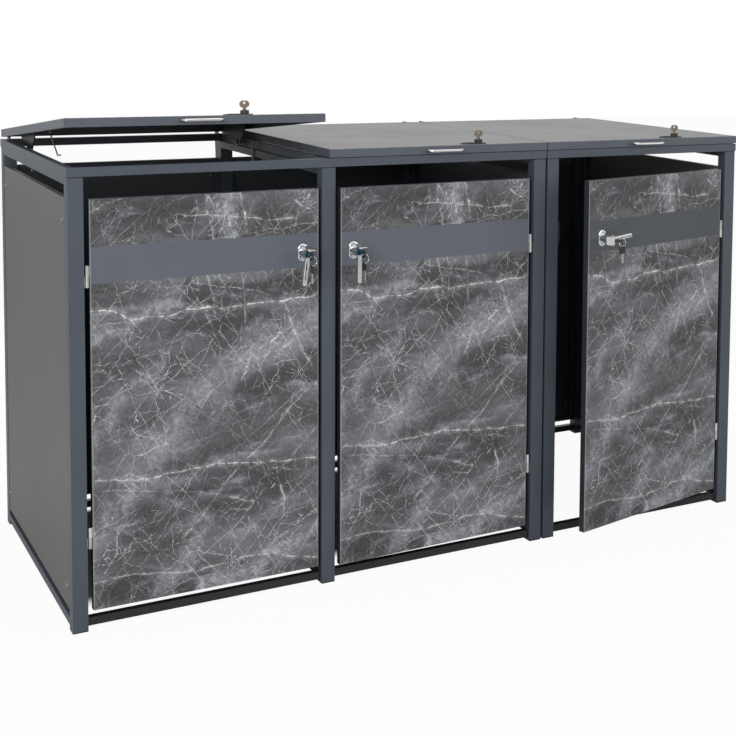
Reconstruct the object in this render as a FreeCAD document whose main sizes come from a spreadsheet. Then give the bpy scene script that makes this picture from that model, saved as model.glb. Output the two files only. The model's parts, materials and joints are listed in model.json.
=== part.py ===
import FreeCAD, Part
import math
import os
from types import SimpleNamespace

import Sketcher
from FreeCAD import Placement, Rotation, Vector

# A steel store for three wheelie bins: one double frame and one single frame side by side.
# Each bay has a front door, a lift-up lid and sheet steel walls.
# Millimetres, +X right, +Y back, +Z up. The origin is the centre of the underside of the
# front left post's foot.

SIZES = {
    # Square posts and the spacing of the bays.
    "bay_pitch": 625,
    "depth_pitch": 864,
    "unit_gap": 7,
    "post_size": 36,
    "post_wall": 1.5,
    "post_top": 1100,
    "plug_flange": 3,
    "plug_depth": 18,
    "plug_clearance": 0.3,
    # Rails between the posts and the rim on top.
    "rail_size": 20,
    "rail_wall": 1.5,
    "bottom_rail_height": 11,
    "rim_width": 18,
    "rim_height": 22,
    "rim_wall": 1.5,
    "rim_overhang": 2,
    # Sheet steel walls.
    "sheet": 1.2,
    "panel_bottom": 47,
    "panel_top": 1050,
    "panel_depth": 15,
    "panel_lip": 12,
    "panel_recess": 1,
    "panel_gap": 0.5,
    "lug_size": 34,
    "lug_sheet": 3,
    "lug_clearance": 2,
    "screw_inset": 24,
    "screw_low": 102,
    "screw_high": 995,
    "screw_diameter": 5,
    "screw_head": 12,
    "screw_head_height": 2.6,
    "screw_clearance": 0.2,
    # Doors and their hinges.
    "door_bottom": 48,
    "door_top": 1048,
    "door_depth": 20,
    "door_recess": 3,
    "door_lip": 16,
    "door_hinge_gap": 13,
    "door_lock_gap": 8,
    "bend_radius": 1.5,
    "knuckle_radius": 5,
    "knuckle_length": 26,
    "knuckle_gap": 0.4,
    "pin_radius": 3,
    "running_fit": 0.05,
    "hinge_offset": 7,
    "hinge_setback": 5,
    "hinge_low": 203,
    "hinge_high": 838,
    "leaf_sheet": 2.5,
    "leaf_reach": 27,
    "keep_sheet": 2,
    "keep_reach": 12,
    "keep_height": 60,
    "keep_clearance": 0.5,
    # Door locks: rose, barrel, lever, tongue, dust cover and keys.
    "lock_inset_1": 43,
    "lock_inset_2": 35,
    "lock_inset_3": 51,
    "lock_height": 885,
    "rose_width": 28,
    "rose_height": 47,
    "rose_thickness": 5,
    "rose_edge": 3.5,
    "end_flat": 0.2,
    "barrel_radius": 11,
    "barrel_clearance": 0.3,
    "nut_width": 30,
    "nut_thickness": 5,
    "spindle_radius": 6,
    "tongue_sheet": 3,
    "tongue_width": 18,
    "tongue_gap": 4,
    "tongue_stop_gap": 2,
    "head_radius": 12.5,
    "head_length": 38,
    "head_gap": 0.4,
    "lever_reach": 81,
    "lever_width": 12,
    "lever_thickness": 10,
    "lever_edge": 3,
    "cover_sheet": 2,
    "cover_width": 24,
    "cover_length": 25,
    "cover_gap": 1.2,
    "cover_corner": 4.8,
    "cover_edge": 0.5,
    "cover_pin_radius": 1.5,
    "plug_face_radius": 8,
    "plug_face_depth": 12,
    "key_sheet": 2.5,
    "bow_size": 22,
    "bow_corner": 7.3,
    "bow_thickness": 3.4,
    "key_neck": 9,
    "key_blade_height": 8,
    "key_blade_length": 26,
    "bow_hole_radius": 3,
    "bow_hole_inset": 5,
    "bow_hole_edge": 1.2,
    "ring_radius": 12,
    "ring_wire": 0.8,
    "ring_lean": 20,
    "ring_play": 0.9,
    # Lids, their arms, stays, handles and locks.
    "lid_gap": 2,
    "lid_overhang": 2,
    "lid_length": 870,
    "lid_height": 22,
    "lid_lip": 14,
    "lid_joint_gap": 4,
    "lid_bend_radius": 2,
    "arm_offset": 9,
    "arm_sheet": 5,
    "arm_width": 26,
    "pivot_back": 20,
    "pivot_drop": 143,
    "pivot_pin_radius": 4,
    "clevis_sheet": 2.5,
    "clevis_side_gap": 0.4,
    "clevis_height": 40,
    "stay_sheet": 3,
    "stay_gap": 4,
    "stay_front": 271,
    "stay_vertex": 200,
    "stay_rear": 60,
    "stay_drop": 46,
    "stay_flange": 18,
    "stay_hole_radius": 3.2,
    "guide_sheet": 3,
    "guide_width": 14,
    "guide_y": 534,
    "guide_low": 1064,
    "guide_high": 1124,
    "prop_wire_radius": 1.8,
    "prop_length": 113,
    "prop_pin_radius": 2.5,
    "prop_eye_radius": 4.5,
    "prop_wire_start": 3.5,
    "prop_ear_height": 12,
    "prop_y": 514,
    "handle_length": 106,
    "handle_radius": 4,
    "handle_height": 10,
    "handle_reach": 26,
    "handle_bend": 12,
    "lid_lock_offset": 118,
    "lid_lock_inset": 26,
    "lid_plate_length": 72,
    "lid_plate_end": 17,
    "lid_plate_width": 26,
    "lid_plate_thickness": 3,
    "lid_ridge_size": 2,
    "lid_ridge_pitch": 5,
    "lid_ridge_inset": 4,
    "lid_barrel_radius": 11,
    "lid_barrel_height": 12.5,
    "lid_plug_radius": 6,
    "lid_stem_radius": 8,
    "lid_stem_length": 11.2,
    "cam_sheet": 2.5,
    "cam_width": 14,
    "cam_reach": 24,
    "lid_bow_radius": 9,
    "lid_bow_spread": 3.5,
    "lid_bow_hole_radius": 3,
    "lid_key_top": 37,
    "lid_key_neck_width": 9,
    # Rest angles seen in the photograph.
    "lid_raise_1": 5.75,
    "lid_raise_2": 0,
    "lid_raise_3": 0,
    "door_swing_1": 0,
    "door_swing_2": 2,
    "door_swing_3": 13.4,
    "lever_turn_1": 7,
    "lever_turn_2": 0,
    "lever_turn_3": 94,
    "cover_lift": -14,
    "prop_angle_1": 34,
    "prop_angle_2": 0,
    "prop_angle_3": 0,
}

doc = FreeCAD.newDocument("bin_store")
sheet = doc.addObject("Spreadsheet::Sheet", "sizes")
for row, (alias, number) in enumerate(SIZES.items(), 1):
    sheet.set(f"A{row}", alias)
    sheet.set(f"B{row}", str(number))
    sheet.setAlias(f"B{row}", alias)
doc.recompute()


class Size:
    """A size with the expression that it comes from, so that both follow the sheet."""

    def __init__(self, value, text=None):
        self.value = float(value)
        self.text = text or repr(self.value)

    def __add__(self, other):
        return joined(self, "+", other)

    def __radd__(self, other):
        return joined(other, "+", self)

    def __sub__(self, other):
        return joined(self, "-", other)

    def __rsub__(self, other):
        return joined(other, "-", self)

    def __mul__(self, other):
        return joined(self, "*", other)

    def __rmul__(self, other):
        return joined(other, "*", self)

    def __truediv__(self, other):
        return joined(self, "/", other)

    def __neg__(self):
        return joined(0, "-", self)


def as_size(amount):
    return amount if isinstance(amount, Size) else Size(amount)


def joined(left, sign, right):
    left, right = as_size(left), as_size(right)
    value = {
        "+": left.value + right.value,
        "-": left.value - right.value,
        "*": left.value * right.value,
        "/": left.value / (right.value or 1),
    }[sign]
    return Size(value, f"({left.text} {sign} {right.text})")


S = SimpleNamespace(**{alias: Size(sheet.get(alias), f"sizes.{alias}") for alias in SIZES})
nodes = []


def bind(item, prop, size):
    item.setExpression(prop, as_size(size).text)


def node(item, name, placement=None):
    """Make an object a sub-part of its own, labelled with its node's name."""
    item.Label = name
    if placement is not None:
        item.Placement = placement
    nodes.append(item)
    return item


def spin(axis, degrees, centre):
    """A turn about an axis through a point."""
    return Placement(Vector(), Rotation(Vector(*axis), degrees), Vector(*centre))


def shift(x=0, y=0, z=0, rotation=None):
    place = Vector(as_size(x).value, as_size(y).value, as_size(z).value)
    return Placement(place, rotation or Rotation())


# Part primitives and booleans with bound sizes.

def box(name, corner, sides):
    item = doc.addObject("Part::Box", name)
    for prop, side in zip(("Length", "Width", "Height"), sides):
        bind(item, prop, side)
    for prop, place in zip("xyz", corner):
        bind(item, f"Placement.Base.{prop}", place)
    return item


AXIS_TURNS = {
    "x": Rotation(Vector(0, 1, 0), 90),
    "y": Rotation(Vector(1, 0, 0), -90),
    "z": Rotation(),
}


def cylinder(name, base, radius, length, axis="z"):
    item = doc.addObject("Part::Cylinder", name)
    item.Placement = Placement(Vector(), AXIS_TURNS[axis])
    bind(item, "Radius", radius)
    bind(item, "Height", length)
    for prop, place in zip("xyz", base):
        bind(item, f"Placement.Base.{prop}", place)
    return item


def fused(name, items):
    item = doc.addObject("Part::MultiFuse", name)
    item.Shapes = items
    item.Refine = True
    return item


def cut(name, base, tools):
    item = doc.addObject("Part::Cut", name)
    item.Base = base
    item.Tool = tools[0] if len(tools) == 1 else fused(f"{name}_tools", tools)
    return item


def group(name, items, placement=None):
    """Separate solids that share one node."""
    item = doc.addObject("Part::Compound", name)
    item.Links = items
    return node(item, name, placement)


# Sketches whose points and radii are bound to the sheet.

def new_body(name):
    item = doc.addObject("PartDesign::Body", name)
    item.Label = name
    return item


def new_sketch(body, name, role, offset=0):
    item = body.newObject("Sketcher::SketchObject", name)
    support = next(f for f in body.Origin.OriginFeatures if f.Role == role)
    item.AttachmentSupport = [(support, "")]
    item.MapMode = "FlatFace"
    bind(item, "AttachmentOffset.Base.z", offset)
    return item


def fix_point(item, geometry, point, place):
    for kind, amount in zip(("DistanceX", "DistanceY"), place):
        amount = as_size(amount)
        index = item.addConstraint(Sketcher.Constraint(kind, -1, 1, geometry, point, amount.value))
        item.setExpression(f"Constraints[{index}]", amount.text)


def draw_outline(item, points):
    """A closed outline of straight lines through the points."""
    corners = [Vector(as_size(x).value, as_size(y).value, 0) for x, y in points]
    first = item.GeometryCount
    count = len(points)
    for number in range(count):
        item.addGeometry(Part.LineSegment(corners[number], corners[(number + 1) % count]), False)
    for number in range(count):
        following = first + (number + 1) % count
        item.addConstraint(Sketcher.Constraint("Coincident", first + number, 2, following, 1))
    for number, place in enumerate(points):
        fix_point(item, first + number, 1, place)


def draw_rectangle(item, corner, sides):
    x, y = corner
    wide, high = sides
    draw_outline(item, [(x, y), (x + wide, y), (x + wide, y + high), (x, y + high)])


def draw_circle(item, centre, radius):
    radius = as_size(radius)
    middle = Vector(as_size(centre[0]).value, as_size(centre[1]).value, 0)
    number = item.addGeometry(Part.Circle(middle, Vector(0, 0, 1), radius.value), False)
    fix_point(item, number, 3, centre)
    index = item.addConstraint(Sketcher.Constraint("Radius", number, radius.value))
    item.setExpression(f"Constraints[{index}]", radius.text)


def pad(body, name, profile, length, reverse=False, middle=False):
    item = body.newObject("PartDesign::Pad", name)
    item.Profile = profile
    bind(item, "Length", length)
    item.Reversed = reverse
    item.Midplane = middle
    profile.Visibility = False
    return item


def pocket(body, name, profile, length=None, reverse=False, middle=False):
    item = body.newObject("PartDesign::Pocket", name)
    item.Profile = profile
    item.Reversed = reverse
    item.Midplane = middle
    if length is None:
        item.Type = "ThroughAll"
    else:
        bind(item, "Length", length)
    return item


def fillet_edges(body, name, radius, choose):
    """Round the edges of the body so far that the test picks."""
    doc.recompute()
    base = body.Tip
    edges = [f"Edge{i}" for i, edge in enumerate(base.Shape.Edges, 1) if choose(edge)]
    item = body.newObject("PartDesign::Fillet", name)
    item.Base = (base, edges)
    bind(item, "Radius", radius)
    return item


def on_plane(edge, axis, value):
    """True where both ends and the middle of the edge have this coordinate."""
    first, last = edge.ParameterRange
    spots = [edge.valueAt(first), edge.valueAt((first + last) / 2), edge.valueAt(last)]
    return all(abs(getattr(spot, axis) - value) < 0.01 for spot in spots)


# Places shared by the pieces.

half_post = S.post_size / 2
unit_step = S.post_size + S.unit_gap
post_x = [Size(0), S.bay_pitch, S.bay_pitch * 2]
post_x.append(post_x[2] + unit_step)
post_x.append(post_x[3] + S.bay_pitch)
BAYS = ((1, 0, 1), (2, 1, 2), (3, 3, 4))
cap_top = S.post_top + S.plug_flange
rail_top_height = cap_top - S.rail_size
rim_top = cap_top + S.rim_height
lid_bottom = rim_top + S.lid_gap
lid_top = lid_bottom + S.lid_height
front_face = -half_post
rear_face = S.depth_pitch + half_post
bay_clear = S.bay_pitch - S.post_size
door_face = front_face + S.door_recess
door_width = bay_clear - S.door_hinge_gap - S.door_lock_gap
door_height = S.door_top - S.door_bottom
pivot_y = rear_face + S.pivot_back
pivot_z = cap_top - S.pivot_drop
rim_front = front_face - S.rim_overhang
lid_front = rim_front - S.lid_overhang
screw_hole = (S.screw_diameter + S.screw_clearance) / 2
screw_heights = (S.screw_low, S.screw_high)


# Posts, rails and rim.

def tube(name, corner, sides, wall, along):
    """A rectangular tube, open at both ends, along one axis."""
    core_corner = []
    core_sides = []
    for axis, place, side in zip("xyz", corner, sides):
        core_corner.append(place if axis == along else place + wall)
        core_sides.append(side if axis == along else side - wall * 2)
    outer = box(f"{name}_outer", corner, sides)
    return cut(name, outer, [box(f"{name}_core", core_corner, core_sides)])


def post_tube(name, y):
    corner = (-half_post, y - half_post, S.plug_flange)
    return tube(name, corner, (S.post_size, S.post_size, S.post_top - S.plug_flange), S.post_wall, "z")


def side_frame(number, rails_x, lug_sides, keep_sides, clevis_offsets):
    """A front and a rear post with the rails, lugs, keeps and clevises that are welded to them."""
    name = f"side_frame_{number}"
    rail_length = S.depth_pitch - S.post_size
    rail_sides = (S.rail_size, rail_length, S.rail_size)
    pieces = [post_tube(f"{name}_front_post", Size(0)), post_tube(f"{name}_rear_post", S.depth_pitch)]
    for part, height in (("top", rail_top_height), ("bottom", S.bottom_rail_height)):
        corner = (rails_x, half_post, height)
        pieces.append(tube(f"{name}_{part}_rail", corner, rail_sides, S.rail_wall, "y"))
    for index, side in enumerate(lug_sides):
        pieces.append(side_lugs(f"{name}_side_lugs_{index}", side))
    for index, side in enumerate(keep_sides):
        pieces.append(door_keep(f"{name}_keep_{index}", side))
        pieces.append(rear_lugs(f"{name}_rear_lugs_{index}", side))
    for index, side in enumerate(s for s in (-1, 1) if s not in keep_sides and number_has_bay(number, s)):
        pieces.append(rear_lugs(f"{name}_rear_lugs_far_{index}", side))
    for index, offset in enumerate(clevis_offsets):
        pieces.append(clevis(f"{name}_clevis_{index}", offset))
    return node(fused(name, pieces), name, shift(post_x[number - 1]))


def number_has_bay(number, side):
    """True where a side frame has a bay on that side."""
    return (number, side) in ((1, 1), (2, -1), (2, 1), (3, -1), (4, 1), (5, -1))


def side_lugs(name, side):
    """Four lugs behind a side wall, two on each post, drilled for its screws."""
    face = half_post - S.panel_recess - S.sheet
    x = face - S.lug_sheet if side > 0 else -face
    lugs = []
    holes = []
    for post, y, screw_y in (
        ("front", half_post, half_post + S.screw_inset),
        ("rear", S.depth_pitch - half_post - S.lug_size, S.depth_pitch - half_post - S.screw_inset),
    ):
        for height in screw_heights:
            tag = f"{name}_{post}_{int(height.value)}"
            corner = (x, y, height - S.lug_size / 2)
            lugs.append(box(tag, corner, (S.lug_sheet, S.lug_size, S.lug_size)))
            holes.append(cylinder(f"{tag}_hole", (x, screw_y, height), screw_hole, S.lug_sheet, "x"))
    return cut(name, fused(f"{name}_plates", lugs), holes)


def rear_lugs(name, side):
    """Two lugs on a rear post behind a back wall, drilled for its screws."""
    y = rear_face - S.panel_recess - S.sheet - S.lug_sheet
    x = half_post if side > 0 else -half_post - S.lug_size
    screw_x = half_post + S.screw_inset if side > 0 else -half_post - S.screw_inset
    lugs = []
    holes = []
    for height in screw_heights:
        tag = f"{name}_{int(height.value)}"
        lugs.append(box(tag, (x, y, height - S.lug_size / 2), (S.lug_size, S.lug_sheet, S.lug_size)))
        holes.append(cylinder(f"{tag}_hole", (screw_x, y, height), screw_hole, S.lug_sheet, "y"))
    return cut(name, fused(f"{name}_plates", lugs), holes)


def door_keep(name, side):
    """The tab on a front post that stops the closed door behind its lock."""
    y = door_face + S.door_depth + S.keep_clearance
    reach = S.door_lock_gap + S.keep_reach
    x = half_post if side > 0 else -half_post - reach
    corner = (x, y, S.lock_height - S.keep_height / 2)
    return box(name, corner, (reach, S.keep_sheet, S.keep_height))


def clevis(name, offset):
    """Two cheeks on the back of a rear post that hold the pivot of a lid arm."""
    reach = S.pivot_back + S.clevis_height / 2
    side_step = S.arm_sheet / 2 + S.clevis_side_gap
    cheeks = []
    for tag, x in (("left", offset - side_step - S.clevis_sheet), ("right", offset + side_step)):
        corner = (x, rear_face, pivot_z - S.clevis_height / 2)
        cheeks.append(box(f"{name}_{tag}", corner, (S.clevis_sheet, reach, S.clevis_height)))
    hole_start = offset - side_step - S.clevis_sheet
    hole_length = side_step * 2 + S.clevis_sheet * 2
    bore = cylinder(
        f"{name}_bore", (hole_start, pivot_y, pivot_z),
        S.pivot_pin_radius + S.running_fit, hole_length, "x")
    return cut(name, fused(f"{name}_cheeks", cheeks), [bore])


def rim(name, first_post, last_post, dividers):
    """The welded rim of rectangular tube that the lids close on."""
    left = post_x[first_post] - half_post - S.rim_overhang
    right = post_x[last_post] + half_post + S.rim_overhang
    edges = [left + S.rim_width]
    for divider in dividers:
        edges += [post_x[divider] - S.rim_width / 2, post_x[divider] + S.rim_width / 2]
    edges.append(right - S.rim_width)
    outer = rim_block(f"{name}_outer", left, right, edges, Size(0))
    bore = rim_block(f"{name}_bore", left, right, edges, S.rim_wall)
    return node(cut(name, outer, [bore]), name)


def rim_block(name, left, right, edges, wall):
    """The rim as one solid block with a hole over each bay, every face moved in by a wall."""
    deep = rear_face + S.rim_overhang - rim_front
    high = S.rim_height - wall * 2
    block = box(
        f"{name}_block", (left + wall, rim_front + wall, cap_top + wall),
        (right - left - wall * 2, deep - wall * 2, high))
    holes = []
    for index in range(0, len(edges), 2):
        corner = (edges[index] - wall, rim_front + S.rim_width - wall, cap_top + wall)
        sides = (edges[index + 1] - edges[index] + wall * 2, deep - (S.rim_width - wall) * 2, high)
        holes.append(box(f"{name}_hole_{index}", corner, sides))
    return cut(name, block, holes)


def bottom_rails():
    """The front and rear bottom rails of each bay."""
    rails = []
    for bay, left, right in BAYS:
        start = post_x[left] + half_post
        for part, y in (("front", Size(0)), ("rear", S.depth_pitch)):
            corner = (start, y - S.rail_size / 2, S.bottom_rail_height)
            sides = (bay_clear, S.rail_size, S.rail_size)
            rails.append(tube(f"bottom_rail_{part}_{bay}", corner, sides, S.rail_wall, "x"))
    return group("bottom_rails", rails)


def post_plugs():
    """The black end plugs at the top and the foot of every post."""
    plugs = []
    core = S.post_size - S.post_wall * 2 - S.plug_clearance * 2
    for column, x in enumerate(post_x):
        for row, y in enumerate((Size(0), S.depth_pitch)):
            flange_corner = (x - half_post, y - half_post)
            core_corner = (x - core / 2, y - core / 2)
            for part, flange_z, core_z in (
                ("foot", Size(0), S.plug_flange),
                ("cap", S.post_top, S.post_top - S.plug_depth),
            ):
                tag = f"post_plug_{part}_{column}_{row}"
                flange_sides = (S.post_size, S.post_size, S.plug_flange)
                flange = box(f"{tag}_flange", (*flange_corner, flange_z), flange_sides)
                stem = box(f"{tag}_stem", (*core_corner, core_z), (core, core, S.plug_depth))
                plugs.append(fused(tag, [flange, stem]))
    return group("post_plugs", plugs)


def unit_link_bolts():
    """Spacer sleeves and bolts that hold the two frames side by side."""
    bolts = []
    start = post_x[2] + half_post
    for row, y in enumerate((Size(0), S.depth_pitch)):
        for height in screw_heights:
            tag = f"unit_link_{row}_{int(height.value)}"
            bolts.append(cylinder(tag, (start, y, height), S.screw_head / 2, S.unit_gap, "x"))
    return group("unit_link_bolts", bolts)


side_frame(1, -half_post, (-1,), (), (S.arm_offset,))
side_frame(2, -half_post, (), (-1, 1), (-S.arm_offset, S.arm_offset))
side_frame(3, half_post - S.rail_size, (1,), (), (-S.arm_offset,))
side_frame(4, -half_post, (-1,), (1,), (S.arm_offset,))
side_frame(5, half_post - S.rail_size, (1,), (), (-S.arm_offset,))
bottom_rails()
rim("rim_double", 0, 2, (1,))
rim("rim_single", 3, 4, ())
post_plugs()
unit_link_bolts()


# Folded sheet trays: walls, doors and lids.

def tray(name, wide, high, deep, lip, radius, holes=(), notches=()):
    """A folded sheet tray. Its closed face is at y = 0 and its lips are at y = deep.

    holes are (x, z, radius) through the closed face. notches are (z, deep, high) through both sides.
    """
    item = new_body(name)
    shell = new_sketch(item, f"{name}_outline", "XZ_Plane")
    draw_rectangle(shell, (Size(0), Size(0)), (wide, high))
    pad(item, f"{name}_block", shell, deep, reverse=True)
    # The offset runs along the plane's normal, which is -Y.
    mouth = new_sketch(item, f"{name}_mouth", "XZ_Plane", -S.sheet)
    draw_rectangle(mouth, (lip, lip), (wide - lip * 2, high - lip * 2))
    pocket(item, f"{name}_mouth_cut", mouth, deep - S.sheet)
    cavity = new_sketch(item, f"{name}_cavity", "XZ_Plane", -S.sheet)
    draw_rectangle(cavity, (S.sheet, S.sheet), (wide - S.sheet * 2, high - S.sheet * 2))
    pocket(item, f"{name}_cavity_cut", cavity, deep - S.sheet * 2)
    if holes:
        drill = new_sketch(item, f"{name}_drill", "XZ_Plane")
        for x, z, hole_radius in holes:
            draw_circle(drill, (x, z), hole_radius)
        pocket(item, f"{name}_drill_cut", drill, S.sheet)
    fillet_edges(item, f"{name}_bends", radius, lambda edge: tray_bend(edge, wide, high))
    if notches:
        sides = new_sketch(item, f"{name}_notches", "YZ_Plane")
        for z, notch_deep, notch_high in notches:
            draw_rectangle(sides, (S.sheet, z), (notch_deep, notch_high))
        pocket(item, f"{name}_notches_cut", sides, wide * 2, middle=True)
    return item


def tray_bend(edge, wide, high):
    """The four outer edges of a tray's closed face."""
    if not on_plane(edge, "y", 0):
        return False
    return (
        on_plane(edge, "x", 0)
        or on_plane(edge, "x", wide.value)
        or on_plane(edge, "z", 0)
        or on_plane(edge, "z", high.value)
    )


panel_height = S.panel_top - S.panel_bottom
side_width = S.depth_pitch - S.post_size - S.panel_gap * 2
back_width = bay_clear - S.panel_gap * 2


def wall_holes(wide):
    inset = S.screw_inset - S.panel_gap
    spots = []
    for x in (inset, wide - inset):
        for height in screw_heights:
            spots.append((x, height - S.panel_bottom, screw_hole))
    return spots


def wall_notches():
    """Notches in a wall's flanges where the posts' lugs pass."""
    high = S.lug_size + S.lug_clearance * 2
    deep = S.lug_sheet + S.lug_clearance
    return [(height - high / 2 - S.panel_bottom, deep, high) for height in screw_heights]


def wall(name, wide, placement):
    item = tray(
        name, wide, panel_height, S.panel_depth, S.panel_lip, S.bend_radius,
        wall_holes(wide), wall_notches())
    return node(item, name, placement)


def side_wall_place(column, side):
    x = post_x[column] + side * (half_post - S.panel_recess)
    y = half_post + S.panel_gap if side > 0 else S.depth_pitch - half_post - S.panel_gap
    return shift(x, y, S.panel_bottom, Rotation(Vector(0, 0, 1), 90 * side))


def back_wall_place(left):
    x = post_x[left] + half_post + S.panel_gap + back_width
    return shift(x, rear_face - S.panel_recess, S.panel_bottom, Rotation(Vector(0, 0, 1), 180))


SIDE_WALLS = ((1, 0, -1), (2, 2, 1), (3, 3, -1), (4, 4, 1))
for number, column, side in SIDE_WALLS:
    wall(f"side_panel_{number}", side_width, side_wall_place(column, side))
for bay, left, right in BAYS:
    wall(f"back_panel_{bay}", back_width, back_wall_place(left))


def wall_screw(name, spot, side, axis):
    """A button head screw through a wall and its lug. The head is on the outside."""
    head_height = S.screw_head_height
    depth = S.sheet + S.lug_sheet
    x, y, z = spot
    steps = {"x": (1, 0), "y": (0, 1)}[axis]
    head_start = Size(0) if side > 0 else -head_height
    shank_start = -depth if side > 0 else Size(0)
    head_base = (x + head_start * steps[0], y + head_start * steps[1], z)
    shank_base = (x + shank_start * steps[0], y + shank_start * steps[1], z)
    head = cylinder(f"{name}_head", head_base, S.screw_head / 2, head_height, axis)
    shank = cylinder(f"{name}_shank", shank_base, S.screw_diameter / 2, depth, axis)
    return fused(name, [head, shank])


def wall_screws():
    screws = []
    screw_steps = (half_post + S.screw_inset, S.depth_pitch - half_post - S.screw_inset)
    for number, column, side in SIDE_WALLS:
        x = post_x[column] + side * (half_post - S.panel_recess)
        for y in screw_steps:
            for z in screw_heights:
                tag = f"side_screw_{number}_{int(y.value)}_{int(z.value)}"
                screws.append(wall_screw(tag, (x, y, z), side, "x"))
    for bay, left, right in BAYS:
        for x in (post_x[left] + half_post + S.screw_inset, post_x[right] - half_post - S.screw_inset):
            for z in screw_heights:
                tag = f"back_screw_{bay}_{int(x.value)}_{int(z.value)}"
                screws.append(wall_screw(tag, (x, rear_face - S.panel_recess, z), 1, "y"))
    return group("panel_screws", screws)


wall_screws()
doc.recompute()


# Doors, their hinges and their locks.

LOCK_INSETS = {1: S.lock_inset_1, 2: S.lock_inset_2, 3: S.lock_inset_3}


def hinged_left(bay):
    return bay == 1


def door_places(bay, left, right):
    """The x places of one door: post face, hinge pin, door edges and lock axis."""
    places = SimpleNamespace()
    left_face = post_x[left] + half_post
    right_face = post_x[right] - half_post
    if hinged_left(bay):
        places.side = 1
        places.post_face = left_face
        places.left_edge = left_face + S.door_hinge_gap
        places.hinge_edge = places.left_edge
        places.lock_x = right_face - S.door_lock_gap - LOCK_INSETS[bay]
    else:
        places.side = -1
        places.post_face = right_face
        places.left_edge = left_face + S.door_lock_gap
        places.hinge_edge = right_face - S.door_hinge_gap
        places.lock_x = places.left_edge + LOCK_INSETS[bay]
    places.pin_x = places.post_face + S.hinge_offset * places.side
    return places


DOORS = {bay: door_places(bay, left, right) for bay, left, right in BAYS}
SWINGS = {1: S.door_swing_1, 2: S.door_swing_2, 3: S.door_swing_3}
LEVER_TURNS = {1: S.lever_turn_1, 2: S.lever_turn_2, 3: S.lever_turn_3}
hinge_y = front_face + S.hinge_setback
tongue_y = S.door_depth + S.keep_clearance + S.keep_sheet + S.tongue_gap
lever_front = -(S.rose_thickness + S.head_gap + S.head_length)
cover_pin_z = S.head_radius + S.cover_pin_radius * 2 + S.head_gap
cover_pin_y = lever_front + S.cover_pin_radius * 2
key_hole_y = lever_front - S.key_neck - S.bow_size + S.bow_hole_inset


def door_turn(bay):
    """A door swings out about its pins, its free edge towards -Y."""
    places = DOORS[bay]
    axis = (0, 0, -places.side)
    return spin(axis, SWINGS[bay].value, (places.pin_x.value, hinge_y.value, 0))


def lock_place(bay):
    """The lock's own frame: on the door's face, with its axis along Y."""
    return door_turn(bay) * shift(DOORS[bay].lock_x, door_face, S.lock_height)


def lever_place(bay):
    """A lever turns from hanging down towards the door's hinges."""
    turn = spin((0, DOORS[bay].side, 0), LEVER_TURNS[bay].value, (0, 0, 0))
    return lock_place(bay) * turn


def along(start, side, length):
    """The lower end of a span that runs from start towards a side."""
    return start if side > 0 else start - length


def hinge_posts():
    """The fixed halves of the door hinges, with their pins, on the front posts."""
    halves = []
    for bay, places in DOORS.items():
        for height in (S.hinge_low, S.hinge_high):
            tag = f"hinge_post_{bay}_{int(height.value)}"
            leaf_x = along(places.post_face, places.side, S.leaf_sheet)
            web_x = along(places.post_face, places.side, S.hinge_offset)
            long = S.knuckle_length
            pin_length = long * 2
            halves.append(fused(tag, [
                box(f"{tag}_leaf", (leaf_x, hinge_y, height), (S.leaf_sheet, S.leaf_reach, long)),
                box(f"{tag}_web", (web_x, hinge_y, height), (S.hinge_offset, S.knuckle_radius, long)),
                cylinder(f"{tag}_knuckle", (places.pin_x, hinge_y, height), S.knuckle_radius, long),
                cylinder(f"{tag}_pin", (places.pin_x, hinge_y, height), S.pin_radius, pin_length),
            ]))
    return group("door_hinge_posts", halves)


def hinge_leaf(bay, height):
    """The half of a hinge that turns with the door."""
    places = DOORS[bay]
    tag = f"hinge_leaf_{bay}_{int(height.value)}"
    start = height + S.knuckle_length + S.knuckle_gap
    long = S.knuckle_length - S.knuckle_gap
    web = S.door_hinge_gap - S.hinge_offset
    leaf_x = along(places.hinge_edge, -places.side, S.leaf_sheet)
    web_x = along(places.pin_x, places.side, web)
    solid = fused(f"{tag}_solid", [
        box(f"{tag}_leaf", (leaf_x, hinge_y, start), (S.leaf_sheet, S.leaf_reach / 2, long)),
        box(f"{tag}_web", (web_x, hinge_y, start), (web, S.knuckle_radius, long)),
        cylinder(f"{tag}_knuckle", (places.pin_x, hinge_y, start), S.knuckle_radius, long),
    ])
    bore_radius = S.pin_radius + S.running_fit
    return cut(tag, solid, [cylinder(f"{tag}_bore", (places.pin_x, hinge_y, start), bore_radius, long)])


def rounded_plate(name, corner, sides, corner_radius, edge_radius, hole=None):
    """A plate in the XZ plane with round corners and a softened front edge.

    corner is its low left corner, sides are (wide, high, thick) and hole is (x, z, radius).
    Its back is at y = 0 and its front at y = -thick.
    """
    wide, high, thick = sides
    item = new_body(name)
    face = new_sketch(item, f"{name}_face", "XZ_Plane")
    draw_rectangle(face, corner, (wide, high))
    if hole:
        draw_circle(face, (hole[0], hole[1]), hole[2])
    pad(item, f"{name}_plate", face, thick)
    x, z = corner
    ends = ((x, z), (x + wide, z), (x, z + high), (x + wide, z + high))
    fillet_edges(item, f"{name}_corners", corner_radius, lambda edge: any(
        on_plane(edge, "x", as_size(cx).value) and on_plane(edge, "z", as_size(cz).value)
        for cx, cz in ends))
    if edge_radius is not None:
        reach = (as_size(hole[2]).value if hole else 0) + 0.01
        middle = (as_size(hole[0]).value, as_size(hole[1]).value) if hole else (0, 0)
        fillet_edges(item, f"{name}_softened", edge_radius, lambda edge: (
            on_plane(edge, "y", -thick.value)
            and not (hole and near_axis(edge, middle, reach))))
    return item


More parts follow.
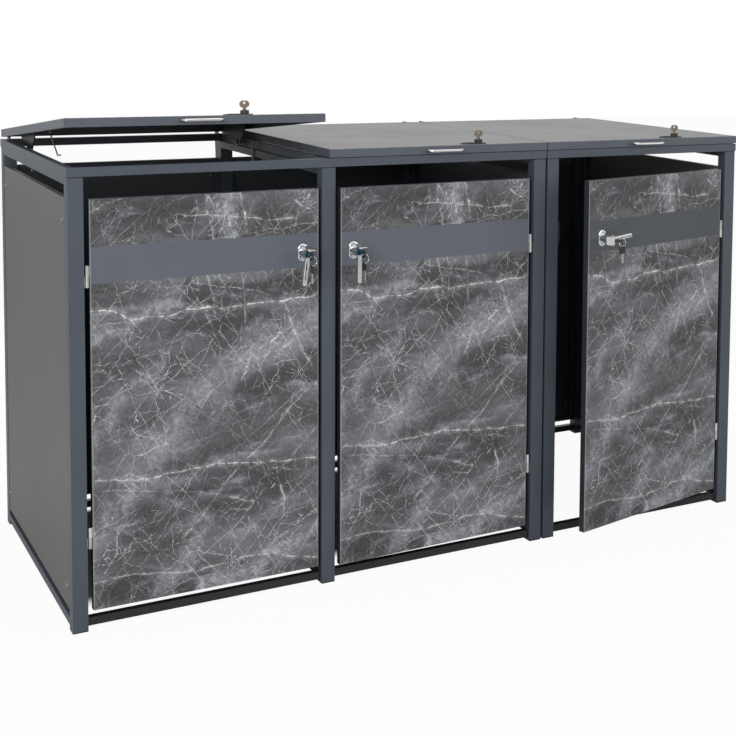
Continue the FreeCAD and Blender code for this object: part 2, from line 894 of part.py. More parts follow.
def near_axis(edge, middle, reach):
    """True for an edge within this reach of an axis along Y."""
    spot = edge.valueAt(edge.ParameterRange[0])
    return math.hypot(spot.x - middle[0], spot.z - middle[1]) < reach


def moved(item, place):
    """Give an object that is part of a larger one its own place."""
    item.Placement = place
    return item


def placed(name, item, place):
    """Carry an object that has a place of its own to a further one."""
    carrier = doc.addObject("Part::Compound", name)
    carrier.Links = [item]
    return moved(carrier, place)


def lock_rose(bay):
    """The oval rose on the door, with the barrel and the nut behind it."""
    tag = f"lock_rose_{bay}"
    oval = rounded_plate(
        f"{tag}_oval", (-S.rose_width / 2, -S.rose_height / 2),
        (S.rose_width, S.rose_height, S.rose_thickness),
        S.rose_width / 2 - S.end_flat, S.rose_edge)
    barrel_length = tongue_y - S.head_gap
    barrel = cylinder(f"{tag}_barrel", (0, 0, 0), S.barrel_radius, barrel_length, "y")
    nut = doc.addObject("Part::Prism", f"{tag}_nut")
    nut.Polygon = 6
    bind(nut, "Circumradius", S.nut_width / 2)
    bind(nut, "Height", S.nut_thickness)
    nut.Placement = Placement(Vector(), AXIS_TURNS["y"])
    bind(nut, "Placement.Base.y", S.sheet)
    bore_length = barrel_length + S.rose_thickness
    bore = cylinder(
        f"{tag}_bore", (0, -S.rose_thickness, 0), S.spindle_radius + S.running_fit, bore_length, "y")
    return cut(tag, fused(f"{tag}_solid", [oval, barrel, nut]), [bore])


def door_fittings(bay):
    """What is fixed to a door: both hinge leaves and the lock's rose."""
    leaves = [hinge_leaf(bay, height) for height in (S.hinge_low, S.hinge_high)]
    rose = moved(lock_rose(bay), shift(DOORS[bay].lock_x, door_face, S.lock_height))
    return group(f"door_fittings_{bay}", leaves + [rose], door_turn(bay))


def lock_lever(bay):
    """The lever with its head, spindle and tongue, drilled for the key's plug and the cover."""
    tag = f"lock_lever_{bay}"
    side = DOORS[bay].side
    arm = rounded_plate(
        f"{tag}_arm", (-S.lever_width / 2, -S.lever_reach),
        (S.lever_width, S.lever_reach, S.lever_thickness),
        S.lever_width / 2 - S.end_flat, S.lever_edge)
    arm = moved(arm, shift(0, lever_front + S.lever_thickness))
    head = cylinder(f"{tag}_head", (0, lever_front, 0), S.head_radius, S.head_length, "y")
    spindle_start = lever_front + S.head_length
    spindle_length = tongue_y + S.tongue_sheet - spindle_start
    spindle = cylinder(f"{tag}_spindle", (0, spindle_start, 0), S.spindle_radius, spindle_length, "y")
    reach = LOCK_INSETS[bay] - S.keep_reach - S.tongue_stop_gap
    tongue_x = -S.tongue_width / 2 if side > 0 else -reach
    tongue = box(
        f"{tag}_tongue", (tongue_x, tongue_y, -S.tongue_width / 2),
        (reach + S.tongue_width / 2, S.tongue_sheet, S.tongue_width))
    ears = []
    for ear_side in (-1, 1):
        ear_x = along(S.cover_width / 4 * ear_side, ear_side, S.leaf_sheet)
        ears.append(box(
            f"{tag}_ear_{ear_side + 1}", (ear_x, lever_front, S.head_radius / 2),
            (S.leaf_sheet, S.cover_pin_radius * 4, cover_pin_z - S.head_radius / 2 + S.cover_pin_radius * 2)))
    solid = fused(f"{tag}_solid", [arm, head, spindle, tongue] + ears)
    plug_bore = cylinder(
        f"{tag}_plug_bore", (0, lever_front, 0), S.plug_face_radius + S.running_fit,
        S.plug_face_depth + S.head_gap, "y")
    pin_bore = cylinder(
        f"{tag}_pin_bore", (-S.cover_width / 2, cover_pin_y, cover_pin_z),
        S.cover_pin_radius + S.running_fit, S.cover_width, "x")
    return node(cut(tag, solid, [plug_bore, pin_bore]), tag, lever_place(bay))


def lock_cover(bay):
    """The dust cover that is hinged on top of the lever's head, drawn shut and turned open."""
    tag = f"lock_cover_{bay}"
    face = rounded_plate(
        f"{tag}_face", (-S.cover_width / 2, -S.cover_length),
        (S.cover_width, S.cover_length + S.cover_pin_radius, S.cover_sheet),
        S.cover_corner, S.cover_edge)
    face_y = lever_front - S.cover_gap - cover_pin_y
    face = moved(face, shift(0, face_y))
    inside = S.cover_width / 4 - S.head_gap
    web = box(
        f"{tag}_web", (-inside, face_y - S.cover_sheet / 2, -S.cover_pin_radius),
        (inside * 2, -face_y + S.cover_sheet / 2, S.cover_pin_radius * 2))
    eye = cylinder(f"{tag}_eye", (-inside, 0, 0), S.cover_pin_radius * 2, inside * 2, "x")
    pin_reach = S.cover_width / 4 + S.leaf_sheet
    pin = cylinder(f"{tag}_pin", (-pin_reach, 0, 0), S.cover_pin_radius, pin_reach * 2, "x")
    hinge = shift(0, cover_pin_y, cover_pin_z)
    opened = spin((-1, 0, 0), 90 + S.cover_lift.value, (0, 0, 0))
    return node(fused(tag, [face, web, eye, pin]), tag, lever_place(bay) * hinge * opened)


def key_bow(name):
    """A key's bow in the YZ plane, its hole at the origin and its blade end towards +Y."""
    bow = rounded_plate(
        name, (-S.bow_hole_inset, -S.bow_size / 2), (S.bow_size, S.bow_size, S.bow_thickness),
        S.bow_corner, None, (0, 0, S.bow_hole_radius))
    rim_reach = S.bow_hole_radius.value + 0.01
    fillet_edges(bow, f"{name}_hole_edges", S.bow_hole_edge, lambda edge: (
        near_axis(edge, (0, 0), rim_reach)
        and (on_plane(edge, "y", 0) or on_plane(edge, "y", -S.bow_thickness.value))))
    return moved(bow, shift(-S.bow_thickness / 2, 0, 0, Rotation(Vector(0, 0, 1), 90)))


def lock_key(bay):
    """The key in the lock with the plug that it turns."""
    tag = f"lock_key_{bay}"
    bow = placed(f"{tag}_bow_placed", key_bow(f"{tag}_bow"), shift(0, key_hole_y))
    plug = cylinder(f"{tag}_plug", (0, lever_front, 0), S.plug_face_radius, S.plug_face_depth, "y")
    neck_start = key_hole_y + S.bow_size - S.bow_hole_inset * 2
    neck = box(
        f"{tag}_neck", (-S.key_sheet / 2, neck_start, -S.key_blade_height / 2),
        (S.key_sheet, lever_front - neck_start, S.key_blade_height))
    return node(fused(tag, [bow, plug, neck]), tag, lever_place(bay))


def spare_key(bay):
    """The key ring and the spare key that hangs from it, drawn below the hole of the key's bow.

    The ring hangs straight down through an upright bow. A bow that lies flat holds it out to the front.
    """
    tag = f"spare_key_{bay}"
    flat = LEVER_TURNS[bay].value > 45
    play = S.bow_hole_radius - S.ring_wire - S.ring_play
    lean = math.radians(S.ring_lean.value) if flat else math.radians(90)
    hang = S.ring_radius + (S.ring_play if flat else play)
    centre_y = hang * -math.cos(lean)
    centre_z = hang * -math.sin(lean)
    ring = doc.addObject("Part::Torus", f"{tag}_ring")
    bind(ring, "Radius1", S.ring_radius)
    bind(ring, "Radius2", S.ring_wire)
    ring.Placement = Placement(Vector(), AXIS_TURNS["x" if flat else "y"])
    bind(ring, "Placement.Base.y", centre_y)
    bind(ring, "Placement.Base.z", centre_z)
    bow = key_bow(f"{tag}_bow")
    neck_start = S.bow_size - S.bow_hole_inset * 2
    blade = box(
        f"{tag}_blade", (-S.key_sheet / 2, neck_start, -S.key_blade_height / 2),
        (S.key_sheet, S.key_blade_length + S.bow_hole_inset, S.key_blade_height))
    key = fused(f"{tag}_key", [bow, blade])
    facing = Rotation(Vector(0, 0, 1), 90 if flat else 0)
    hanging_down = Rotation(Vector(1, 0, 0), -90)
    key.Placement = shift(0, centre_y, centre_z - S.ring_radius - play, facing * hanging_down)
    hanging = Placement(Vector(), Rotation(Vector(0, DOORS[bay].side, 0), -LEVER_TURNS[bay].value))
    place = lever_place(bay) * shift(0, key_hole_y) * hanging
    return group(tag, [ring, key], place)


def door(bay):
    """A door: a folded steel tray with the lock's hole."""
    places = DOORS[bay]
    lock_hole = (places.lock_x - places.left_edge, S.lock_height - S.door_bottom,
                 S.barrel_radius + S.barrel_clearance)
    item = tray(f"door_{bay}", door_width, door_height, S.door_depth, S.door_lip, S.bend_radius, [lock_hole])
    return node(item, f"door_{bay}", door_turn(bay) * shift(places.left_edge, door_face, S.door_bottom))


hinge_posts()
for bay in DOORS:
    door(bay)
    door_fittings(bay)
    lock_lever(bay)
    lock_cover(bay)
    lock_key(bay)
    spare_key(bay)


# Lids with their arms, stays, handles and locks.

rim_double_width = S.bay_pitch * 2 + S.post_size + S.rim_overhang * 2
half_lid_width = (rim_double_width - S.lid_joint_gap) / 2
single_lid_width = S.bay_pitch + S.post_size + S.rim_overhang * 2
rim_left = -half_post - S.rim_overhang
LIDS = {
    1: (rim_left, half_lid_width),
    2: (rim_left + half_lid_width + S.lid_joint_gap, half_lid_width),
    3: (post_x[3] + rim_left, single_lid_width),
}
RAISES = {1: S.lid_raise_1, 2: S.lid_raise_2, 3: S.lid_raise_3}
PROP_ANGLES = {1: S.prop_angle_1, 2: S.prop_angle_2, 3: S.prop_angle_3}
LID_RIDGES = 6
lid_rear = lid_front + S.lid_length
lid_lock_y = lid_front + S.lid_lock_inset
sheet_under = lid_top - S.sheet
prop_z = lid_bottom + S.prop_pin_radius


def lid_turn(bay):
    """A lid swings up and back about the pivots behind the rear posts."""
    return spin((-1, 0, 0), RAISES[bay].value, (0, pivot_y.value, pivot_z.value))


def lid_lock_x(bay):
    left, wide = LIDS[bay]
    return left + wide / 2 + S.lid_lock_offset


def lid(bay):
    """A lid: a folded tray, open below, drilled for its lock."""
    left, wide = LIDS[bay]
    lock_hole = (lid_lock_x(bay) - left, S.lid_lock_inset, S.lid_stem_radius + S.barrel_clearance)
    item = tray(f"lid_{bay}", wide, S.lid_length, S.lid_height, S.lid_lip, S.lid_bend_radius, [lock_hole])
    flat = shift(left, lid_front, lid_top, Rotation(Vector(1, 0, 0), -90))
    return node(item, f"lid_{bay}", lid_turn(bay) * flat)


def side_profile(name, points, x, thick, circles=()):
    """A flat piece that stands in the YZ plane, from x towards +X."""
    item = new_body(name)
    outline = new_sketch(item, f"{name}_outline", "YZ_Plane", x)
    draw_outline(outline, points)
    pad(item, f"{name}_plate", outline, thick)
    for index, (y, z, radius) in enumerate(circles):
        disc = new_sketch(item, f"{name}_disc_{index}", "YZ_Plane", x)
        draw_circle(disc, (y, z), radius)
        pad(item, f"{name}_disc_pad_{index}", disc, thick)
    return item


def lid_arm(tag, middle_x, side):
    """A gooseneck arm from a lid's rear flange over the rim to its pivot, with the pivot's pin.

    side is the way in from the lid's edge, towards which its foot reaches.
    """
    half = S.arm_width / 2
    x = middle_x - S.arm_sheet / 2
    low = lid_bottom + S.sheet
    top = lid_top - S.sheet
    inner = pivot_y - half
    outer = pivot_y + half
    points = [
        (lid_rear, low), (inner, low), (inner, pivot_z), (outer, pivot_z),
        (outer, top - half), (outer - half, top), (lid_rear, top),
    ]
    web = side_profile(f"{tag}_web", points, x, S.arm_sheet, [(pivot_y, pivot_z, half)])
    foot_x = along(middle_x - S.arm_sheet / 2 * side, side, S.arm_width)
    foot = box(f"{tag}_foot", (foot_x, lid_rear, low), (S.arm_width, S.stay_sheet, top - low))
    pin_half = S.arm_sheet / 2 + S.clevis_side_gap + S.clevis_sheet
    pin = cylinder(
        f"{tag}_pin", (middle_x - pin_half, pivot_y, pivot_z),
        S.pivot_pin_radius, pin_half * 2, "x")
    return fused(tag, [web, foot, pin])


def lid_stay(tag, x, side):
    """A folded gusset under a lid: a deep plate with a flange against the sheet and a bolt."""
    vertex_y = lid_rear - S.stay_vertex
    low = lid_bottom - S.stay_drop
    points = [
        (lid_rear - S.stay_front, sheet_under), (lid_rear - S.stay_front, lid_bottom),
        (vertex_y - S.stay_flange, low), (vertex_y + S.stay_flange, low),
        (lid_rear - S.stay_rear, lid_bottom), (lid_rear - S.stay_rear, sheet_under),
    ]
    plate = side_profile(f"{tag}_plate", points, x, S.stay_sheet)
    flange_x = along(x, 1, S.stay_flange) if side > 0 else x + S.stay_sheet - S.stay_flange
    flange = box(
        f"{tag}_flange", (flange_x, lid_rear - S.stay_front, sheet_under - S.stay_sheet),
        (S.stay_flange, S.stay_front - S.stay_rear, S.stay_sheet))
    bolt_x = x + S.stay_sheet if side > 0 else x - S.stay_sheet
    bolt = cylinder(
        f"{tag}_bolt", (bolt_x, vertex_y, low + S.stay_hole_radius * 3),
        S.stay_hole_radius * 2, S.stay_sheet, "x")
    return fused(tag, [plate, flange, bolt])


def prop_ear(tag, x):
    """The ear under a lid with the pin of its prop rod."""
    wide = S.prop_ear_height
    ear = box(f"{tag}_ear", (x, S.prop_y - wide / 2, prop_z - S.prop_pin_radius * 2),
              (S.stay_sheet, wide, sheet_under - prop_z + S.prop_pin_radius * 2))
    pin_length = S.stay_sheet * 3
    pin = cylinder(f"{tag}_pin", (x, S.prop_y, prop_z), S.prop_pin_radius, pin_length, "x")
    return fused(tag, [ear, pin])


def bay_faces(bay):
    left, right = next((left, right) for number, left, right in BAYS if number == bay)
    return post_x[left] + half_post, post_x[right] - half_post


def prop_x(bay):
    return bay_faces(bay)[0] + S.stay_gap + S.stay_flange + S.stay_sheet


def lid_arms(bay):
    left_face, right_face = bay_faces(bay)
    tag = f"lid_arms_{bay}"
    pieces = [
        lid_arm(f"{tag}_left", left_face - half_post + S.arm_offset, 1),
        lid_arm(f"{tag}_right", right_face + half_post - S.arm_offset, -1),
        lid_stay(f"{tag}_stay_left", left_face + S.stay_gap, 1),
        lid_stay(f"{tag}_stay_right", right_face - S.stay_gap - S.stay_sheet, -1),
        prop_ear(f"{tag}_prop", prop_x(bay)),
    ]
    return group(tag, pieces, lid_turn(bay))


def prop_rod(bay):
    """A wire prop, drawn from its eye forwards and turned down about its pin."""
    tag = f"prop_rod_{bay}"
    eye_x = S.stay_sheet + S.head_gap
    eye_long = S.prop_wire_radius * 3
    wire_x = eye_x + eye_long / 2
    eye = cylinder(f"{tag}_eye", (eye_x, 0, 0), S.prop_eye_radius, eye_long, "x")
    wire = cylinder(f"{tag}_wire", (wire_x, -S.prop_length, 0), S.prop_wire_radius,
                    S.prop_length - S.prop_wire_start, "y")
    tip = cylinder(f"{tag}_tip", (wire_x, -S.prop_length, 0), S.prop_wire_radius, S.stay_sheet * 3, "x")
    bore = cylinder(f"{tag}_bore", (eye_x, 0, 0), S.prop_pin_radius + S.running_fit, eye_long, "x")
    solid = cut(tag, fused(f"{tag}_solid", [eye, wire, tip]), [bore])
    hang = spin((1, 0, 0), PROP_ANGLES[bay].value, (0, 0, 0))
    return node(solid, tag, lid_turn(bay) * shift(prop_x(bay), S.prop_y, prop_z) * hang)


def lid_handle(bay):
    """A round bar handle on the front of a lid, its ends bent back to the sheet."""
    tag = f"lid_handle_{bay}"
    left, wide = LIDS[bay]
    span = S.handle_length / 2 - S.handle_radius
    straight = S.handle_reach - S.handle_bend
    grip = span - S.handle_bend
    pieces = [cylinder(f"{tag}_grip", (-grip, -S.handle_reach, 0), S.handle_radius, grip * 2, "x")]
    for end, turn in ((-1, 180), (1, 270)):
        leg = cylinder(f"{tag}_leg_{turn}", (span * end, -straight, 0), S.handle_radius, straight, "y")
        bend = doc.addObject("Part::Torus", f"{tag}_bend_{turn}")
        bend.Angle3 = 90
        bind(bend, "Radius1", S.handle_bend)
        bind(bend, "Radius2", S.handle_radius)
        bend.Placement = Placement(Vector(), Rotation(Vector(0, 0, 1), turn))
        bind(bend, "Placement.Base.x", grip * end)
        bind(bend, "Placement.Base.y", -straight)
        pieces += [leg, bend]
    place = lid_turn(bay) * shift(left + wide / 2, lid_front, lid_bottom + S.handle_height)
    return node(fused(tag, pieces), tag, place)


def lid_lock(bay):
    """The lock on a lid: a ridged plate with a pointed end, a barrel and a stem through the lid."""
    tag = f"lid_lock_{bay}"
    half = S.lid_plate_width / 2
    right = S.lid_plate_end
    left = S.lid_plate_length - right
    plate = new_body(f"{tag}_plate")
    outline = new_sketch(plate, f"{tag}_outline", "XY_Plane")
    draw_outline(outline, [
        (-left, 0), (-left + half, -half), (right, -half), (right, half), (-left + half, half)])
    pad(plate, f"{tag}_plate_pad", outline, S.lid_plate_thickness)
    barrel = cylinder(f"{tag}_barrel", (0, 0, 0), S.lid_barrel_radius, S.lid_barrel_height)
    stem_length = S.lid_stem_length
    stem = cylinder(f"{tag}_stem", (0, 0, -stem_length), S.lid_stem_radius, stem_length)
    ridges = []
    for number in range(LID_RIDGES):
        x = -S.lid_barrel_radius - S.lid_ridge_inset - S.lid_ridge_pitch * number
        ridge_corner = (x - S.lid_ridge_size, -half + S.lid_ridge_inset, S.lid_plate_thickness)
        ridge_sides = (S.lid_ridge_size, S.lid_plate_width - S.lid_ridge_inset * 2, S.lid_ridge_size / 2)
        ridges.append(box(f"{tag}_ridge_{number}", ridge_corner, ridge_sides))
    bore_length = stem_length + S.lid_barrel_height
    bore = cylinder(f"{tag}_bore", (0, 0, -stem_length), S.lid_plug_radius + S.running_fit, bore_length)
    solid = cut(tag, fused(f"{tag}_solid", [plate, barrel, stem] + ridges), [bore])
    return node(solid, tag, lid_turn(bay) * shift(lid_lock_x(bay), lid_lock_y, lid_top))


def lid_key(bay):
    """The upright key on a lid, with a bow of two round lobes, and the plug and the cam that it turns."""
    tag = f"lid_key_{bay}"
    stem_length = S.lid_stem_length
    half_key = S.key_sheet / 2
    cam_z = -stem_length - S.head_gap - S.cam_sheet
    plug = cylinder(f"{tag}_plug", (0, 0, cam_z), S.lid_plug_radius, S.lid_barrel_height - cam_z)
    cam_corner = (-S.cam_width / 2, -S.cam_width / 2, cam_z)
    cam = box(f"{tag}_cam", cam_corner, (S.cam_reach, S.cam_width, S.cam_sheet))
    bow_z = S.lid_key_top - S.lid_bow_radius
    neck = box(f"{tag}_neck", (-S.lid_key_neck_width / 2, -half_key, S.lid_barrel_height),
               (S.lid_key_neck_width, S.key_sheet, bow_z - S.lid_barrel_height))
    bow = [
        cylinder(f"{tag}_bow_{part}", (x, -half_key, bow_z), S.lid_bow_radius, S.key_sheet, "y")
        for part, x in (("left", -S.lid_bow_spread), ("right", S.lid_bow_spread))
    ]
    eye = cylinder(f"{tag}_eye", (0, -half_key, bow_z + S.lid_bow_radius / 3),
                   S.lid_bow_hole_radius, S.key_sheet, "y")
    solid = cut(tag, fused(f"{tag}_solid", [plug, cam, neck] + bow), [eye])
    return node(solid, tag, lid_turn(bay) * shift(lid_lock_x(bay), lid_lock_y, lid_top))


def rim_inner_x(post, side):
    """The face of the rim's side tube or divider that looks into a bay beside a post."""
    if post == 1:
        return post_x[post] + S.rim_width / 2 * side
    return post_x[post] + (S.rim_width - half_post - S.rim_overhang) * side


def further(first, second, side):
    """The one of two places that lies further towards a side."""
    return first if (first.value - second.value) * side > 0 else second


def lid_guides():
    """Upright guide plates on the inner faces of the top side rails, two to a bay."""
    plates = []
    frame_rails = {0: -half_post, 1: -half_post, 2: half_post - S.rail_size,
                   3: -half_post, 4: half_post - S.rail_size}
    for bay, left, right in BAYS:
        # The guide lies against the rail, or against the rim where that reaches further in.
        left_x = further(post_x[left] + frame_rails[left] + S.rail_size, rim_inner_x(left, 1), 1)
        right_x = further(post_x[right] + frame_rails[right], rim_inner_x(right, -1), -1) - S.guide_sheet
        for part, x in (("left", left_x), ("right", right_x)):
            plates.append(box(
                f"lid_guide_{bay}_{part}", (x, S.guide_y - S.guide_width / 2, S.guide_low),
                (S.guide_sheet, S.guide_width, S.guide_high - S.guide_low)))
    return group("lid_guides", plates)


lid_guides()
for bay in LIDS:
    lid(bay)
    lid_arms(bay)
    prop_rod(bay)
    lid_handle(bay)
    lid_lock(bay)
    lid_key(bay)


# Every object is checked before any file is written.

doc.recompute()
broken = [f"{item.Name}: {item.State}" for item in doc.Objects if {"Invalid", "Error"} & set(item.State)]
for item in nodes:
    if item.Shape.isNull() or not item.Shape.isValid() or not item.Shape.Solids:
        broken.append(f"{item.Label}: bad shape")
if broken:
    raise RuntimeError("\n".join(broken))
os.makedirs("parts", exist_ok=True)
for item in nodes:
    item.Shape.exportStep(f"parts/{item.Label}.step")
print(f"{len(nodes)} sub-parts, {sum(len(item.Shape.Solids) for item in nodes)} solids")
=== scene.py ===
import json
import math

import bmesh
import bpy
from mathutils import Matrix, Vector


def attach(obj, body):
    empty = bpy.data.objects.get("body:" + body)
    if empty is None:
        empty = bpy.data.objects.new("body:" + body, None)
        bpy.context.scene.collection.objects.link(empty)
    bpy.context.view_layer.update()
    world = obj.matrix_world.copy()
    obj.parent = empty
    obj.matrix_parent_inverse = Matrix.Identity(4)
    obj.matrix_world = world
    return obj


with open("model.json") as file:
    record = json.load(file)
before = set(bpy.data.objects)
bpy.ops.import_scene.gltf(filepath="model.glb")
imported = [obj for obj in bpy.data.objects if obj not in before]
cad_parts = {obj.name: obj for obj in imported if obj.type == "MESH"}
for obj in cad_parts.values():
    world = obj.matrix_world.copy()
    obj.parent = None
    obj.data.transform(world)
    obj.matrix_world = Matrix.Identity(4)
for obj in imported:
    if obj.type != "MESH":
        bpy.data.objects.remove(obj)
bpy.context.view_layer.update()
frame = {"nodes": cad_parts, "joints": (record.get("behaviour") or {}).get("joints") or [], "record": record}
NODES = frame["nodes"]
JOINTS = {joint["name"]: joint for joint in frame["joints"]}
BAYS = (1, 2, 3)

# The photograph's camera, in metres and degrees. The photograph is cut from the corner of a
# wider picture, so its optical axis is far from its middle.
CAMERA_PLACE = Vector((-0.69933, -3.45970, 1.47451))
CAMERA_YAW, CAMERA_PITCH, CAMERA_ROLL = 32.311, 4.631, 1.007
FOCAL_PIXELS = 1409.88
AXIS_PIXEL = (608.74, 141.55)
IMAGE_SIDE = 736
SENSOR = 36
FARTHEST = 60


def make_camera():
    yaw, pitch, roll = map(math.radians, (CAMERA_YAW, CAMERA_PITCH, CAMERA_ROLL))
    ahead = Vector((
        math.sin(yaw) * math.cos(pitch),
        math.cos(yaw) * math.cos(pitch),
        -math.sin(pitch),
    ))
    right = Vector((math.cos(yaw), -math.sin(yaw), 0))
    up = right.cross(ahead)
    tilted_right = right * math.cos(roll) + up * math.sin(roll)
    tilted_up = up * math.cos(roll) - right * math.sin(roll)
    data = bpy.data.cameras.new("camera")
    data.sensor_width = SENSOR
    data.lens = FOCAL_PIXELS / IMAGE_SIDE * SENSOR
    data.shift_x = (IMAGE_SIDE / 2 - AXIS_PIXEL[0]) / IMAGE_SIDE
    data.shift_y = (AXIS_PIXEL[1] - IMAGE_SIDE / 2) / IMAGE_SIDE
    data.clip_end = FARTHEST
    camera = bpy.data.objects.new("camera", data)
    bpy.context.scene.collection.objects.link(camera)
    turn = Matrix((tilted_right, tilted_up, -ahead)).transposed().to_4x4()
    camera.matrix_world = Matrix.Translation(CAMERA_PLACE) @ turn
    bpy.context.scene.camera = camera


class Nodes:
    """A node tree with short ways to add nodes and to join them."""

    def __init__(self, tree):
        self.tree = tree

    def add(self, kind, **settings):
        item = self.tree.nodes.new(f"ShaderNode{kind}")
        for key, value in settings.items():
            setattr(item, key, value)
        return item

    def feed(self, socket, value):
        """Set a socket to a number or a colour, or join another socket to it."""
        if isinstance(value, bpy.types.NodeSocket):
            self.tree.links.new(value, socket)
        elif value is not None:
            socket.default_value = value

    def math(self, operation, first, second=None, third=None):
        item = self.add("Math", operation=operation)
        for socket, value in zip(item.inputs, (first, second, third)):
            self.feed(socket, value)
        return item.outputs[0]

    def times(self, first, second):
        return self.math("MULTIPLY", first, second)

    def plus(self, first, second):
        return self.math("ADD", first, second)

    def most(self, first, second):
        return self.math("MAXIMUM", first, second)

    def rest(self, share):
        """What is left of one when a share is taken from it."""
        return self.math("SUBTRACT", 1.0, share)

    def ramp(self, value, low, high, start=0.0, end=1.0):
        """A smooth step from start to end while value goes from low to high."""
        item = self.add("MapRange", interpolation_type="SMOOTHSTEP")
        for socket, number in zip(item.inputs, (value, low, high, start, end)):
            self.feed(socket, number)
        return item.outputs[0]

    def between(self, value, low, high):
        """One where value lies between low and high, and zero elsewhere."""
        above = self.math("GREATER_THAN", value, low)
        below = self.math("LESS_THAN", value, high)
        return self.times(above, below)


class Shader(Nodes):
    """A material made of nodes on one principled surface."""

    def __init__(self, name):
        self.material = bpy.data.materials.new(name)
        self.material.use_nodes = True
        super().__init__(self.material.node_tree)
        self.surface = self.tree.nodes["Principled BSDF"]

    def place(self):
        """Places on the piece itself, in metres, so that the pattern moves with it."""
        return self.add("TexCoord").outputs["Object"]

    def mapped(self, spot, shift=(0, 0, 0), turn=(0, 0, 0), scale=(1, 1, 1)):
        item = self.add("Mapping")
        self.feed(item.inputs["Vector"], spot)
        item.inputs["Location"].default_value = shift
        item.inputs["Rotation"].default_value = turn
        item.inputs["Scale"].default_value = scale
        return item.outputs[0]

    def split(self, spot):
        """The three numbers of a place."""
        item = self.add("SeparateXYZ")
        self.feed(item.inputs[0], spot)
        return tuple(item.outputs)

    def noise(self, spot, scale, detail, rough=0.55, colour=False):
        item = self.add("TexNoise")
        self.feed(item.inputs["Vector"], spot)
        item.inputs["Scale"].default_value = scale
        item.inputs["Detail"].default_value = detail
        item.inputs["Roughness"].default_value = rough
        return item.outputs["Color" if colour else "Fac"]

    def sway(self, spot, scale, detail, rough, span):
        """Noise on both sides of zero, which spans about this much."""
        centred = self.math("SUBTRACT", self.noise(spot, scale, detail, rough), 0.5)
        return self.times(centred, span)

    def vector(self, operation, first, second):
        item = self.add("VectorMath", operation=operation)
        self.feed(item.inputs[0], first)
        self.feed(item.inputs[1], second)
        return item.outputs["Value" if operation == "DOT_PRODUCT" else "Vector"]

    def mix(self, amount, first, second):
        item = self.add("Mix", data_type="RGBA")
        self.feed(item.inputs[0], amount)
        self.feed(item.inputs[6], first)
        self.feed(item.inputs[7], second)
        return item.outputs[2]

    def bump(self, height, depth, strength):
        item = self.add("Bump")
        item.inputs["Strength"].default_value = strength
        item.inputs["Distance"].default_value = depth
        self.feed(item.inputs["Height"], height)
        self.feed(self.surface.inputs["Normal"], item.outputs[0])

    def finish(self, colour, roughness, metallic=None):
        self.feed(self.surface.inputs["Base Color"], colour)
        self.feed(self.surface.inputs["Roughness"], roughness)
        self.feed(self.surface.inputs["Metallic"], metallic)
        return self.material


def grey(value):
    return (value, value, value, 1.0)


def tinted(colour, gain, lift=0.0):
    """A colour made lighter or darker, kept within one."""
    return tuple(min(1.0, part * gain + lift) for part in colour[:3]) + (1.0,)


# Fine relief, in metres: how far a paler edge reaches, which is partly wear and partly painted highlight,
# and how deep each surface's grain is.
WORN_AND_LIT_EDGE = 0.0012
PEEL_DEPTH, SCRATCH_DEPTH, SPARK_DEPTH = 0.00006, 0.00003, 0.00005
KEY_DEPTH, FILM_DEPTH = 0.00003, 0.00012
BRUSH_STRETCH = (0.02, 1, 1)


def powder_coat(name, colour, roughness=0.42, painted_top_sheen=None):
    """Baked powder paint: orange peel, a little unevenness, dust, and paler edges, partly worn, partly
    painted highlight.
    A tone given for the faces that look up is painted on them as a sheen, for the light from above that they
    catch."""
    s = Shader(name)
    spot = s.place()
    cloud = s.noise(spot, 3.5, 5)
    dust = s.ramp(s.noise(spot, 22, 8, 0.7), 0.58, 0.75, 0.0, 0.16)
    tone = s.mix(s.ramp(cloud, 0.3, 0.7), tinted(colour, 0.93), tinted(colour, 1.07))
    tone = s.mix(dust, tone, tinted(colour, 1.5, 0.01))
    # Painted sheen: the faces that look up are mixed towards a lighter tone, for the light from above that
    # they catch.
    if painted_top_sheen:
        upward = s.split(s.add("TexCoord").outputs["Normal"])[2]
        tone = s.mix(s.ramp(upward, 0.6, 0.95, 0.0, 0.9), tone, painted_top_sheen)
    # Paler edges: partly wear and partly a painted highlight for the light that rounded edges catch, cut
    # short at random by noise.
    edge = s.add("Bevel", samples=4)
    edge.inputs["Radius"].default_value = WORN_AND_LIT_EDGE
    flat = s.add("NewGeometry").outputs["Normal"]
    edge_wear_and_highlight = s.ramp(s.vector("DOT_PRODUCT", edge.outputs[0], flat), 0.995, 0.93, 0.0, 0.5)
    worn = s.times(edge_wear_and_highlight, s.ramp(s.noise(spot, 60, 5), 0.42, 0.6))
    tone = s.mix(worn, tone, tinted(colour, 2.1, 0.02))
    shine = s.ramp(cloud, 0.2, 0.8, roughness - 0.04, roughness + 0.05)
    peel = s.plus(s.noise(spot, 900, 2), s.times(s.noise(spot, 320, 2), 1.4))
    s.bump(peel, PEEL_DEPTH, 0.6)
    return s.finish(tone, s.plus(shine, s.times(dust, 0.5)))


def metal(name, colour, roughness, brushed=False, stain=0.25):
    """Bare or plated metal with fine scratches and slight staining. A brushed grain runs along X."""
    s = Shader(name)
    spot = s.place()
    if brushed:
        lines = s.noise(s.mapped(spot, scale=BRUSH_STRETCH), 2600, 4, 0.6)
    else:
        lines = s.noise(spot, 900, 4, 0.6)
    cloud = s.noise(spot, 55, 6, 0.65)
    tone = s.mix(s.ramp(cloud, 0.38, 0.7), colour, tinted(colour, 1 - stain))
    scratches = s.ramp(lines, 0.3, 0.7, roughness * 0.8, roughness * 1.25)
    s.bump(lines, SCRATCH_DEPTH, 0.5 if brushed else 0.25)
    return s.finish(tone, s.plus(scratches, s.ramp(cloud, 0.4, 0.75, 0.0, 0.08)), 1.0)


